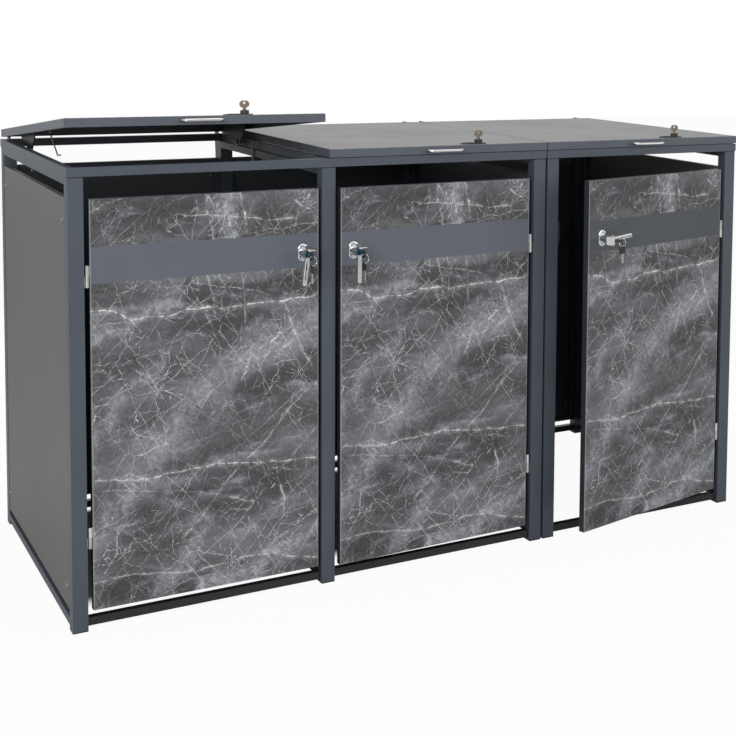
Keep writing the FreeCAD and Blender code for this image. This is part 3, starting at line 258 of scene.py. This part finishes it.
def plastic(name, colour, roughness):
    """Moulded plastic with a fine spark-eroded grain."""
    s = Shader(name)
    spot = s.place()
    tone = s.mix(s.ramp(s.noise(spot, 30, 4), 0.3, 0.75), colour, tinted(colour, 1.5, 0.003))
    gloss = s.ramp(s.noise(spot, 90, 4), 0.3, 0.7, roughness - 0.06, roughness + 0.08)
    s.bump(s.noise(spot, 1500, 3, 0.6), SPARK_DEPTH, 0.5)
    return s.finish(tone, gloss)


# How each door stands at rest: its hinge pin and its left edge in metres, its swing in degrees.
DOOR_PLACES = {
    1: ((0.025, -0.013), 0.031, 0.0),
    2: ((1.225, -0.013), 0.651, 2.0),
    3: ((1.893, -0.013), 1.319, 13.4),
}
DOOR_FACE, DOOR_FOOT, DOOR_WIDTH, DOOR_HEIGHT = -0.015, 0.048, 0.568, 1.0
# The plain band's edges above the door's foot. Farther behind the face than FACE_SKIN the sheet
# carries no print, and nearer to its left or right edge than SIDE_SKIN it is a folded side.
BAND_LOW, BAND_HIGH = 0.798, 0.886
FACE_SKIN, SIDE_SKIN = 0.0011, 0.0005
# The fold's painted highlight, measured in from a door's left or right edge: where it ends and is full.
GLINT_END, GLINT_FULL = 0.0042, 0.0022


def door_spot(s, bay):
    """Places across, behind and up from the lower left corner of a door's face."""
    pin, left, swing = DOOR_PLACES[bay]
    angle = math.radians(-swing)
    pin = Vector(pin)
    shift = pin - Matrix.Rotation(angle, 2) @ pin - Vector((left, DOOR_FACE))
    return s.mapped(s.place(), (shift.x, shift.y, -DOOR_FOOT), (0, 0, angle))


# The veins of the doors' print: whether a line mainly runs across or up, its width in metres, its
# strength, and its points. A point is how far along the line's main way it lies and how far along
# the other way, as shares of the door's width and height.
VEINS = (
    (True, 0.0026, 0.95, ((0.0, 0.734), (0.09, 0.73), (0.12, 0.722), (0.17, 0.703), (0.25, 0.707),
                          (0.33, 0.703), (0.40, 0.719), (0.57, 0.714), (0.83, 0.717), (0.91, 0.723),
                          (0.96, 0.718), (1.0, 0.729))),
    (True, 0.0020, 0.8, ((0.0, 0.322), (0.18, 0.307), (0.26, 0.306), (0.34, 0.312), (0.54, 0.317),
                         (0.67, 0.307), (0.86, 0.298), (1.0, 0.295))),
    (True, 0.0014, 0.55, ((0.045, 0.29), (0.13, 0.285), (0.37, 0.262), (0.53, 0.239), (0.70, 0.205))),
    (True, 0.0020, 0.75, ((0.0, 0.067), (0.16, 0.073), (0.27, 0.065), (0.39, 0.052), (0.53, 0.056),
                          (0.65, 0.065), (0.78, 0.06), (0.85, 0.044), (1.0, 0.025))),
    (True, 0.0013, 0.6, ((0.555, 0.766), (0.64, 0.757), (0.71, 0.75), (0.77, 0.734))),
    (True, 0.0018, 0.7, ((0.40, 0.951), (0.59, 0.942), (0.77, 0.927), (0.88, 0.927))),
    (True, 0.0015, 0.75, ((0.366, 0.137), (0.454, 0.18), (0.543, 0.248), (0.633, 0.305), (0.74, 0.352),
                          (0.849, 0.426), (0.935, 0.473), (1.0, 0.50))),
    (True, 0.0013, 0.6, ((0.587, 0.132), (0.70, 0.205), (0.864, 0.302), (1.0, 0.384))),
    (True, 0.0013, 0.6, ((0.739, 0.068), (0.817, 0.099), (1.0, 0.161))),
    (True, 0.0012, 0.55, ((0.58, 0.548), (0.72, 0.575), (0.85, 0.60), (0.93, 0.63), (1.0, 0.64))),
    (False, 0.0015, 0.65, ((0.687, 0.525), (0.742, 0.518), (0.796, 0.496))),
    (False, 0.0013, 0.55, ((0.663, 0.666), (0.71, 0.658), (0.793, 0.648))),
    (False, 0.0030, 0.75, ((0.889, 0.519), (0.914, 0.512), (0.952, 0.491), (0.997, 0.495))),
    (False, 0.0026, 0.8, ((0.885, 0.611), (0.928, 0.593), (0.966, 0.571), (0.995, 0.586))),
    (False, 0.0028, 0.8, ((0.887, 0.674), (0.942, 0.66), (0.993, 0.638))),
    (False, 0.0018, 0.7, ((0.068, 0.739), (0.086, 0.778), (0.134, 0.821), (0.194, 0.841),
                          (0.241, 0.813), (0.281, 0.802))),
    (False, 0.0015, 0.7, ((0.546, 0.959), (0.629, 0.888), (0.70, 0.849))),
    (False, 0.0012, 0.55, ((0.564, 0.285), (0.644, 0.343), (0.709, 0.445))),
    (False, 0.0012, 0.55, ((0.577, 0.538), (0.635, 0.488), (0.692, 0.437))),
    (False, 0.0012, 0.55, ((0.50, 0.30), (0.572, 0.229), (0.634, 0.161), (0.683, 0.093))),
)
# Broad pale drifts between the veins, in the same way.
DRIFTS = (
    (True, 0.095, 0.62, ((0.0, 0.16), (0.07, 0.226), (0.226, 0.328), (0.369, 0.441), (0.59, 0.548),
                         (0.74, 0.585), (0.818, 0.62), (1.0, 0.66))),
    (True, 0.075, 0.62, ((0.0, 0.42), (0.15, 0.52), (0.30, 0.58))),
    (True, 0.060, 0.95, ((0.45, -0.02), (0.662, 0.02), (0.817, 0.058), (1.0, 0.105))),
    (True, 0.045, 0.55, ((0.25, 0.02), (0.40, 0.10), (0.50, 0.16))),
    (True, 0.022, 0.65, ((0.0, 0.66), (0.12, 0.675), (0.25, 0.725), (0.42, 0.735))),
    (True, 0.020, 0.8, ((0.66, 0.64), (0.74, 0.65), (0.82, 0.665))),
    (False, 0.035, 0.7, ((0.88, 0.60), (0.94, 0.60), (1.0, 0.60))),
)
# Dark grounds between the veins, in the same way.
DARKS = (
    (True, 0.050, 0.75, ((0.40, 0.76), (0.60, 0.735), (0.80, 0.745), (1.0, 0.75))),
    (True, 0.030, 0.6, ((0.34, 0.685), (0.55, 0.675), (0.78, 0.665))),
    (True, 0.050, 0.6, ((0.10, 0.945), (0.30, 0.94), (0.44, 0.95))),
    (True, 0.070, 0.55, ((0.62, 0.46), (0.80, 0.50), (1.0, 0.53))),
    (True, 0.060, 0.5, ((0.45, 0.17), (0.65, 0.20), (0.85, 0.25))),
    (True, 0.040, 0.5, ((0.05, 0.035), (0.25, 0.03), (0.42, 0.0))),
)
# The share of its width at which a vein is drawn, its halo's reach in such widths, and the
# halo's share of its strength.
VEIN_FINENESS, HALO_REACH, HALO_SHARE = 0.7, 6.0, 0.2
# How far a line fades out beyond its ends, and from how far within them, as shares of the door.
END_FADE, END_INSET = 0.03, 0.01
# Sets of straight cracks: their lean in degrees, how many to a metre, and their strength. Then
# the width of a crack and the shift of each set against the one before, in metres.
CRACKS = (
    (38, 15, 1.0), (47, 26, 0.8), (-52, 11, 1.0), (-62, 23, 0.8), (86, 7, 0.8), (6, 6, 0.8),
    (62, 18, 0.8), (-38, 19, 0.7), (22, 21, 0.7), (-76, 14, 0.7),
)
CRACK_WIDTH, CRACK_SHIFT = 0.0009, 0.37
# The mask that cuts the cracks short: its grains to a metre, across them and along them, and its
# shift from set to set.
MASK_ACROSS, MASK_ALONG, MASK_SHIFT = 22.0, 5.0, 3.7
# Nets of hair veins: cells to a metre, line width in cells, the two levels of noise between which
# a line comes to show, and strength.
NETS = ((9, 0.008, 0.48, 0.56, 1.0), (23, 0.016, 0.50, 0.58, 0.9))
# The clouds in the stone lean by this much and are longer than they are wide.
STONE_TILT, STONE_STRETCH = math.radians(38), (1.0, 1.0, 3.2)

STONE_DARK, STONE_LIGHT = (0.040, 0.038, 0.042, 1), (0.208, 0.211, 0.230, 1)
STONE_ZONE = (0.052, 0.048, 0.051, 1)
STONE_MOTTLE = (0.120, 0.120, 0.128, 1)
STONE_RUST = (0.105, 0.090, 0.092, 1)
CRUMB_LIGHT, CRUMB_DARK = (0.27, 0.28, 0.30, 1), (0.030, 0.029, 0.033, 1)
GROUND_DARK = (0.030, 0.028, 0.031, 1)
DRIFT_PALE = (0.54, 0.555, 0.62, 1)
# The pale line painted on the doors' folds as a highlight, and the near black of their sides painted as
# shade.
FOLD_GLINT, FOLD_SIDE_SHADE = (0.34, 0.36, 0.38, 1), (0.018, 0.021, 0.024, 1)


def stone_ground(s, face, drawn, tilted):
    """The stone below its veins: leaning clouds, darker zones, mottle and crumbs."""
    base = s.noise(tilted, 3.1, 9, 0.62)
    tone = s.mix(s.ramp(base, 0.36, 0.66), STONE_DARK, STONE_LIGHT)
    zones = s.noise(face, 3.7, 3, 0.5)
    tone = s.mix(s.ramp(zones, 0.50, 0.36, 0.0, 0.5), tone, STONE_ZONE)
    mottle = s.noise(drawn, 34, 8, 0.7)
    tone = s.mix(s.ramp(mottle, 0.35, 0.7, 0.0, 0.5), tone, STONE_MOTTLE)
    rust = s.noise(tilted, 5.0, 4)
    tone = s.mix(s.ramp(rust, 0.55, 0.75, 0.0, 0.4), tone, STONE_RUST)
    crumble = s.noise(face, 150, 8, 0.8)
    tone = s.mix(s.ramp(crumble, 0.50, 0.68, 0.0, 0.6), tone, CRUMB_LIGHT)
    return s.mix(s.ramp(crumble, 0.50, 0.34, 0.0, 0.7), tone, CRUMB_DARK)


def track(s, across, up, mainly_across, points, wander):
    """How far each place lies from a drawn line, in metres, and how far its ends let it show."""
    if mainly_across:
        along, along_size, away, away_size = across, DOOR_WIDTH, up, DOOR_HEIGHT
    else:
        along, along_size, away, away_size = up, DOOR_HEIGHT, across, DOOR_WIDTH
    along = s.math("DIVIDE", along, along_size)
    curve = s.add("FloatCurve")
    line = curve.mapping.curves[0]
    while len(line.points) < len(points):
        line.points.new(0.5, 0.5)
    for knot, (place, level) in zip(line.points, points):
        knot.location = (place, max(0.0, level))
        knot.handle_type = "VECTOR"
    curve.mapping.update()
    s.feed(curve.inputs["Value"], along)
    gap = s.math("SUBTRACT", away, s.times(curve.outputs[0], away_size))
    gap = s.math("ABSOLUTE", s.plus(gap, wander))
    low, high = points[0][0], points[-1][0]
    begun = s.ramp(along, low - END_FADE, low + END_INSET)
    unended = s.ramp(along, high + END_FADE, high - END_INSET)
    return gap, s.times(begun, unended)


def grounds_and_drifts(s, tone, across, up, face, drawn, tilted):
    """Dark grounds and broad pale drifts, whose soft edges wander far from their lines."""
    flow = s.sway(face, 9, 8, 0.65, 0.16)
    for mainly_across, width, strength, points in DARKS:
        gap, ends = track(s, across, up, mainly_across, points, flow)
        ground = s.times(s.ramp(gap, width, width * 0.4, 0.0, strength), ends)
        tone = s.mix(ground, tone, GROUND_DARK)
    pale = s.ramp(s.noise(tilted, 6.0, 10, 0.68), 0.50, 0.70, 0.0, 0.8)
    for mainly_across, width, strength, points in DRIFTS:
        gap, ends = track(s, across, up, mainly_across, points, flow)
        pale = s.most(pale, s.times(s.ramp(gap, width, 0.0, 0.0, strength), ends))
    pale = s.times(pale, s.ramp(s.noise(drawn, 14, 5, 0.6), 0.36, 0.60, 0.3, 1.0))
    pale = s.times(pale, s.ramp(s.noise(drawn, 70, 9, 0.85), 0.40, 0.60, 0.2, 1.15))
    return s.mix(pale, tone, DRIFT_PALE)


def hair_veins(s, face, drawn):
    """A warped net, and straight cracks that cross each other on the slant."""
    web = 0.0
    for scale, width, low, high, strength in NETS:
        cells = s.add("TexVoronoi", feature="DISTANCE_TO_EDGE")
        s.feed(cells.inputs["Vector"], drawn)
        cells.inputs["Scale"].default_value = scale
        line = s.ramp(cells.outputs["Distance"], width, 0.0, 0.0, strength)
        line = s.times(line, s.ramp(s.noise(drawn, scale * 0.8, 3), low, high))
        web = s.most(web, line)
    for number, (angle, scale, strength) in enumerate(CRACKS):
        lean = math.radians(angle)
        slant = s.vector("DOT_PRODUCT", face, (-math.sin(lean), 0.0, math.cos(lean)))
        reach = s.vector("DOT_PRODUCT", face, (math.cos(lean), 0.0, math.sin(lean)))
        bend = s.sway(face, 5 + number, 5, 0.6, 0.05)
        cells = s.add("TexVoronoi", feature="DISTANCE_TO_EDGE", voronoi_dimensions="1D")
        s.feed(cells.inputs["W"], s.plus(s.plus(slant, bend), CRACK_SHIFT * number))
        cells.inputs["Scale"].default_value = scale
        line = s.ramp(cells.outputs["Distance"], CRACK_WIDTH * scale, 0.0, 0.0, strength)
        # The mask is stretched along the cracks, so each is cut to a limited length.
        stretched = s.add("CombineXYZ")
        s.feed(stretched.inputs[0], s.times(slant, MASK_ACROSS))
        s.feed(stretched.inputs[1], s.times(reach, MASK_ALONG))
        stretched.inputs[2].default_value = MASK_SHIFT * number
        line = s.times(line, s.ramp(s.noise(stretched.outputs[0], 1.0, 2), 0.51, 0.56))
        web = s.most(web, line)
    glitter = s.ramp(s.noise(face, 95, 5, 0.75), 0.38, 0.62, 0.15, 1.0)
    crowd = s.ramp(s.noise(face, 4.5, 2, 0.5), 0.36, 0.56, 0.35, 1.0)
    return s.times(s.times(web, glitter), crowd)


def strong_veins(s, face, across, up):
    """The veins that are drawn line by line, each with a faint halo."""
    wander = s.plus(s.sway(face, 26, 7, 0.65, 0.022), s.sway(face, 130, 4, 0.6, 0.0035))
    swell = s.ramp(s.noise(face, 17, 4), 0.36, 0.66, 0.3, 1.9)
    strong = 0.0
    for mainly_across, width, strength, points in VEINS:
        gap, ends = track(s, across, up, mainly_across, points, wander)
        thin = s.math("DIVIDE", gap, s.times(swell, width * VEIN_FINENESS))
        line = s.times(s.ramp(thin, 1.0, 0.15, 0.0, strength), ends)
        halo = s.times(s.ramp(thin, HALO_REACH, 0.0, 0.0, strength * HALO_SHARE), ends)
        strong = s.most(strong, s.most(line, halo))
    return s.times(strong, s.ramp(s.noise(face, 48, 5, 0.7), 0.42, 0.55, 0.1, 1.0))


def stone_print(bay, coat_colour):
    """A coated door whose front carries a printed grey marble above and below a plain band."""
    s = Shader(f"stone_print_{bay}")
    spot = door_spot(s, bay)
    across, behind, up = s.split(spot)
    # The print is flat: its patterns are read on the door's own face.
    face = s.vector("MULTIPLY", spot, (1, 0, 1))
    stir = s.vector("SUBTRACT", s.noise(face, 7, 6, 0.6, colour=True), (0.5, 0.5, 0.5))
    drawn = s.vector("ADD", face, s.vector("MULTIPLY", stir, (0.07, 0.0, 0.07)))
    tilted = s.mapped(drawn, turn=(0, STONE_TILT, 0), scale=STONE_STRETCH)
    tone = stone_ground(s, face, drawn, tilted)
    tone = grounds_and_drifts(s, tone, across, up, face, drawn, tilted)
    tone = s.mix(hair_veins(s, face, drawn), tone, grey(1.0))
    tone = s.mix(strong_veins(s, face, across, up), tone, grey(1.0))
    grain = s.noise(face, 260, 4, 0.7)
    tone = s.mix(s.ramp(grain, 0.3, 0.72, 0.0, 0.12), tone, grey(0.02))

    # The plain band, and the plain folded sides and back of the sheet.
    folded = s.math("GREATER_THAN", behind, FACE_SKIN)
    plain = s.most(s.between(up, BAND_LOW, BAND_HIGH), folded)
    cloud = s.ramp(s.noise(face, 3.5, 5), 0.3, 0.7)
    coat = s.mix(cloud, tinted(coat_colour, 0.95), tinted(coat_colour, 1.06))
    tone = s.mix(plain, tone, coat)
    # Painted highlight and painted shade: the fold at each side gets a thin pale line, and the sheet's side
    # behind it is painted near black.
    rim = s.math("MINIMUM", across, s.math("SUBTRACT", DOOR_WIDTH, across))
    glint = s.times(s.ramp(rim, GLINT_END, GLINT_FULL), s.rest(folded))
    tone = s.mix(s.times(glint, 0.5), tone, FOLD_GLINT)
    # Painted shade: the folded side of the sheet at each edge is coloured near black.
    side = s.times(folded, s.math("LESS_THAN", rim, SIDE_SKIN))
    tone = s.mix(side, tone, FOLD_SIDE_SHADE)
    # The print is a film laid on the coat, so its edges beside the band stand a hair proud.
    s.bump(s.plus(s.times(s.noise(spot, 700, 2), 0.25), s.rest(plain)), FILM_DEPTH, 0.5)
    return s.finish(tone, s.ramp(s.noise(face, 12, 5), 0.3, 0.7, 0.30, 0.37))


# In metres: how far out from its door a lock key has the face of its plug and the start of its
# bow, and between which heights a spare key's bow hangs, measured from where the key swings.
PLUG_FACE, PLUG_SLACK, BOW_START = 0.0434, 0.0006, 0.0524
SPARE_BOW = {1: (-0.0436, -0.0232), 2: (-0.0436, -0.0232), 3: (-0.0347, -0.0145)}
KEY_NICKEL, KEY_WORN = (0.66, 0.64, 0.60, 1), (0.42, 0.40, 0.36, 1)
BOW_BLACK, BOW_WORN = (0.010, 0.010, 0.011, 1), (0.022, 0.022, 0.024, 1)
PLUG_BLUE = (0.015, 0.12, 0.20, 1)


def key_finish(s, bow, plug=None):
    """Nickel with a black plastic shell on the bow, and a blue tint on the plug's face."""
    spot = s.place()
    worn = s.noise(spot, 240, 4, 0.65)
    used = s.ramp(worn, 0.4, 0.7)
    steel = s.mix(used, KEY_NICKEL, KEY_WORN)
    if plug is not None:
        steel = s.mix(plug, steel, PLUG_BLUE)
    tone = s.mix(bow, steel, s.mix(used, BOW_BLACK, BOW_WORN))
    gloss = s.plus(s.ramp(worn, 0.3, 0.7, 0.18, 0.30), s.times(bow, 0.16))
    s.bump(s.noise(spot, 1500, 3, 0.6), KEY_DEPTH, 0.4)
    return s.finish(tone, gloss, s.rest(bow))


def lock_key(bay):
    s = Shader(f"lock_key_{bay}")
    out = s.times(s.split(door_spot(s, bay))[1], -1.0)
    bow = s.math("GREATER_THAN", out, BOW_START)
    return key_finish(s, bow, s.math("COMPARE", out, PLUG_FACE, PLUG_SLACK))


def spare_key(bay):
    s = Shader(f"spare_key_{bay}")
    height = JOINTS[f"spare_key_{bay}_swing"]["pos_m"][2]
    low, high = (height + edge for edge in SPARE_BOW[bay])
    return key_finish(s, s.between(s.split(s.place())[2], low, high))


ANTHRACITE = (0.066, 0.080, 0.101, 1.0)
WALL = (0.112, 0.109, 0.106, 1.0)
# The walls that face into the bays get a darker copy of the wall coat, as painted shade.
SHADED_INNER_WALL = (0.066, 0.073, 0.084, 1.0)
# The lids' coat, and the lighter tone painted on their upward faces as a sheen from the light above.
LID_FRONT, LID_TOP_SHEEN = (0.086, 0.099, 0.121, 1.0), (0.108, 0.105, 0.107, 1.0)
# Door 3 stands open, and its band gets a darker copy of the band colour as painted shade.
BAND, SHADED_BAND = (0.116, 0.128, 0.155, 1.0), (0.078, 0.086, 0.093, 1.0)
BANDS = {1: BAND, 2: BAND, 3: SHADED_BAND}
INNER_WALLS = ("side_panel_2", "side_panel_3", "back_panel_1", "back_panel_2", "back_panel_3")
FINISHES = {
    "anthracite_frame": powder_coat("anthracite_frame", ANTHRACITE),
    "anthracite_wall": powder_coat("anthracite_wall", WALL, 0.46),
    "inner_wall": powder_coat("inner_wall", SHADED_INNER_WALL, 0.46),
    "lid_coat": powder_coat("lid_coat", LID_FRONT, painted_top_sheen=LID_TOP_SHEEN),
    "black_plastic": plastic("black_plastic", (0.012, 0.012, 0.013, 1.0), 0.45),
    "black_steel": powder_coat("black_steel", (0.016, 0.016, 0.018, 1.0), 0.38),
    "zinc_steel": metal("zinc_steel", (0.62, 0.62, 0.60, 1.0), 0.34),
    "screw_steel": metal("screw_steel", grey(0.50), 0.30),
    "chrome_lock": metal("chrome_lock", (0.80, 0.80, 0.81, 1.0), 0.12, stain=0.08),
    "key_steel": metal("key_steel", (0.24, 0.19, 0.15, 1.0), 0.24),
    "brushed_handle": metal("brushed_handle", (0.50, 0.49, 0.48, 1.0), 0.24, True, 0.1),
}


def node_finish(name, slot):
    """The finish of a node: by its kind and bay where it has one of its own, else by its slot."""
    kind, _, bay = name.rpartition("_")
    if kind == "door":
        return stone_print(int(bay), BANDS[int(bay)])
    if kind == "lock_key":
        return lock_key(int(bay))
    if kind == "spare_key":
        return spare_key(int(bay))
    if kind == "lid":
        return FINISHES["lid_coat"]
    # Walls that face into the bays take the darker copy of the wall coat, as painted shade.
    if name in INNER_WALLS:
        return FINISHES["inner_wall"]
    return FINISHES[slot]


# The two screws that hold each lock's rose, with their cross recesses, in metres.
ROSE_THICKNESS, ROSE_SCREW_REACH = 0.005, 0.0165
HEAD_RADIUS, HEAD_RISE = 0.0029, 0.0011
CROSS_REACH, CROSS_HALF, CROSS_DEPTH = 0.0017, 0.00036, 0.0007
HEAD_RINGS, HEAD_SPOKES = 16, 64
SAME_POINT = 1e-7


def head_point(ring, spoke):
    """A point of a screw head that looks towards -Y, with its foot in the plane y = 0."""
    share = ring / HEAD_RINGS
    angle = 2 * math.pi * spoke / HEAD_SPOKES
    x = HEAD_RADIUS * share * math.cos(angle)
    z = HEAD_RADIUS * share * math.sin(angle)
    height = HEAD_RISE * math.sqrt(max(0.0, 1 - share ** 3))
    near, far = sorted((abs(x), abs(z)))
    if near < CROSS_HALF and far < CROSS_REACH:
        height -= CROSS_DEPTH
    return (x, -height, z)


def screw_head(name, place, out):
    """A raised screw head with a cross recess, as one closed skin with its foot on the rose."""
    work = bmesh.new()
    rings = []
    for ring in range(HEAD_RINGS + 1):
        rings.append([work.verts.new(head_point(ring, spoke)) for spoke in range(HEAD_SPOKES)])
    for inner, outer in zip(rings, rings[1:]):
        for spoke in range(HEAD_SPOKES):
            after = (spoke + 1) % HEAD_SPOKES
            work.faces.new((inner[spoke], outer[spoke], outer[after], inner[after]))
    bmesh.ops.remove_doubles(work, verts=work.verts, dist=SAME_POINT)
    work.faces.new(rings[-1])
    bmesh.ops.recalc_face_normals(work, faces=work.faces)
    mesh = bpy.data.meshes.new(name)
    work.to_mesh(mesh)
    work.free()
    turn = Vector((0, -1, 0)).rotation_difference(out).to_matrix().to_4x4()
    mesh.transform(Matrix.Translation(place) @ turn)
    for face in mesh.polygons:
        face.use_smooth = len(face.vertices) < HEAD_SPOKES
    mesh.materials.append(FINISHES["screw_steel"])
    piece = bpy.data.objects.new(name, mesh)
    bpy.context.scene.collection.objects.link(piece)
    return piece


def rose_screws(bay):
    joint = JOINTS[f"lever_{bay}_turn"]
    out = -Vector(joint["axis"])
    for end, rise in (("top", ROSE_SCREW_REACH), ("foot", -ROSE_SCREW_REACH)):
        spot = Vector(joint["pos_m"]) + out * ROSE_THICKNESS + Vector((0, 0, rise))
        head = screw_head(f"rose_screw_{end}_{bay}", spot, out)
        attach(head, f"door_{bay}")


# The floor reaches from FLOOR_LOW to FLOOR_HIGH both ways. The camera sees FLOOR_WHITE of it as
# plain white, and AMBIENT is the light from all round.
FLOOR_LOW, FLOOR_HIGH = -14, 16
FLOOR_WHITE = 0.95
AMBIENT = 0.42
# Deep inside the two shut bays the floor lies in the dark. At each edge of that patch the dark
# comes in from the first place to the second.
SHUT_ACROSS = ((0.02, 0.05), (1.24, 1.21))
SHUT_DEEP = ((0.12, 0.20), (0.88, 0.84))
# Each softbox has a name, a place, a target, a size in metres and a power in watts.
SOFTBOXES = (
    ("key", (-2.6, -3.4, 2.6), (0.7, 0.2, 0.6), (2.4, 2.4), 102),
    ("fill", (4.2, -3.6, 2.2), (1.2, 0.0, 0.6), (2.4, 2.0), 30),
    ("top", (0.9, 0.6, 4.0), (0.9, 0.4, 1.1), (3.0, 2.0), 50),
)


def make_floor():
    s = Shader("floor")
    spot = s.place()
    tone = s.mix(s.ramp(s.noise(spot, 1.2, 3), 0.3, 0.7), grey(0.80), grey(0.84))
    s.finish(tone, 0.9)
    s.surface.inputs["Specular IOR Level"].default_value = 0.0
    glow = s.add("Emission")
    glow.inputs["Color"].default_value = grey(1.0)
    across, deep, _ = s.split(spot)
    inside = 1.0
    for place, runs in ((across, SHUT_ACROSS), (deep, SHUT_DEEP)):
        for start, end in runs:
            inside = s.times(inside, s.ramp(place, start, end))
    seen = s.times(s.add("LightPath").outputs["Is Camera Ray"], s.rest(inside))
    blend = s.add("MixShader")
    s.feed(blend.inputs[0], s.times(seen, FLOOR_WHITE))
    s.feed(blend.inputs[1], s.surface.outputs[0])
    s.feed(blend.inputs[2], glow.outputs[0])
    s.feed(s.tree.nodes["Material Output"].inputs["Surface"], blend.outputs[0])
    corners = [
        (FLOOR_LOW, FLOOR_LOW, 0), (FLOOR_HIGH, FLOOR_LOW, 0),
        (FLOOR_HIGH, FLOOR_HIGH, 0), (FLOOR_LOW, FLOOR_HIGH, 0),
    ]
    mesh = bpy.data.meshes.new("floor")
    mesh.from_pydata(corners, [], [(0, 1, 2, 3)])
    mesh.materials.append(s.material)
    floor = bpy.data.objects.new("floor", mesh)
    bpy.context.scene.collection.objects.link(floor)


def make_world():
    """Soft light from all round, and white where it is seen directly, in metal or through glass."""
    world = bpy.data.worlds.new("studio")
    world.use_nodes = True
    w = Nodes(world.node_tree)
    path = w.add("LightPath").outputs
    seen = w.most(path["Is Camera Ray"], path["Is Glossy Ray"])
    seen = w.most(seen, path["Is Transmission Ray"])
    level = w.add("MapRange")
    level.inputs["To Min"].default_value = AMBIENT
    level.inputs["To Max"].default_value = 1.0
    w.feed(level.inputs["Value"], seen)
    back = w.tree.nodes["Background"]
    back.inputs["Color"].default_value = grey(1.0)
    w.feed(back.inputs["Strength"], level.outputs[0])
    bpy.context.scene.world = world


def softbox(name, place, target, size, power):
    data = bpy.data.lights.new(name, "AREA")
    data.shape = "RECTANGLE"
    data.size, data.size_y = size
    data.energy = power
    lamp = bpy.data.objects.new(name, data)
    lamp.location = place
    lamp.rotation_euler = (Vector(target) - Vector(place)).to_track_quat("-Z", "Y").to_euler()
    bpy.context.scene.collection.objects.link(lamp)


make_camera()
for entry in frame["record"]["subparts"]:
    mesh = NODES[entry["node"]].data
    mesh.materials.clear()
    mesh.materials.append(node_finish(entry["node"], entry["material_slot"]))
for bay in BAYS:
    rose_screws(bay)
make_floor()
make_world()
for lamp in SOFTBOXES:
    softbox(*lamp)
bpy.context.scene.view_settings.view_transform = "Standard"
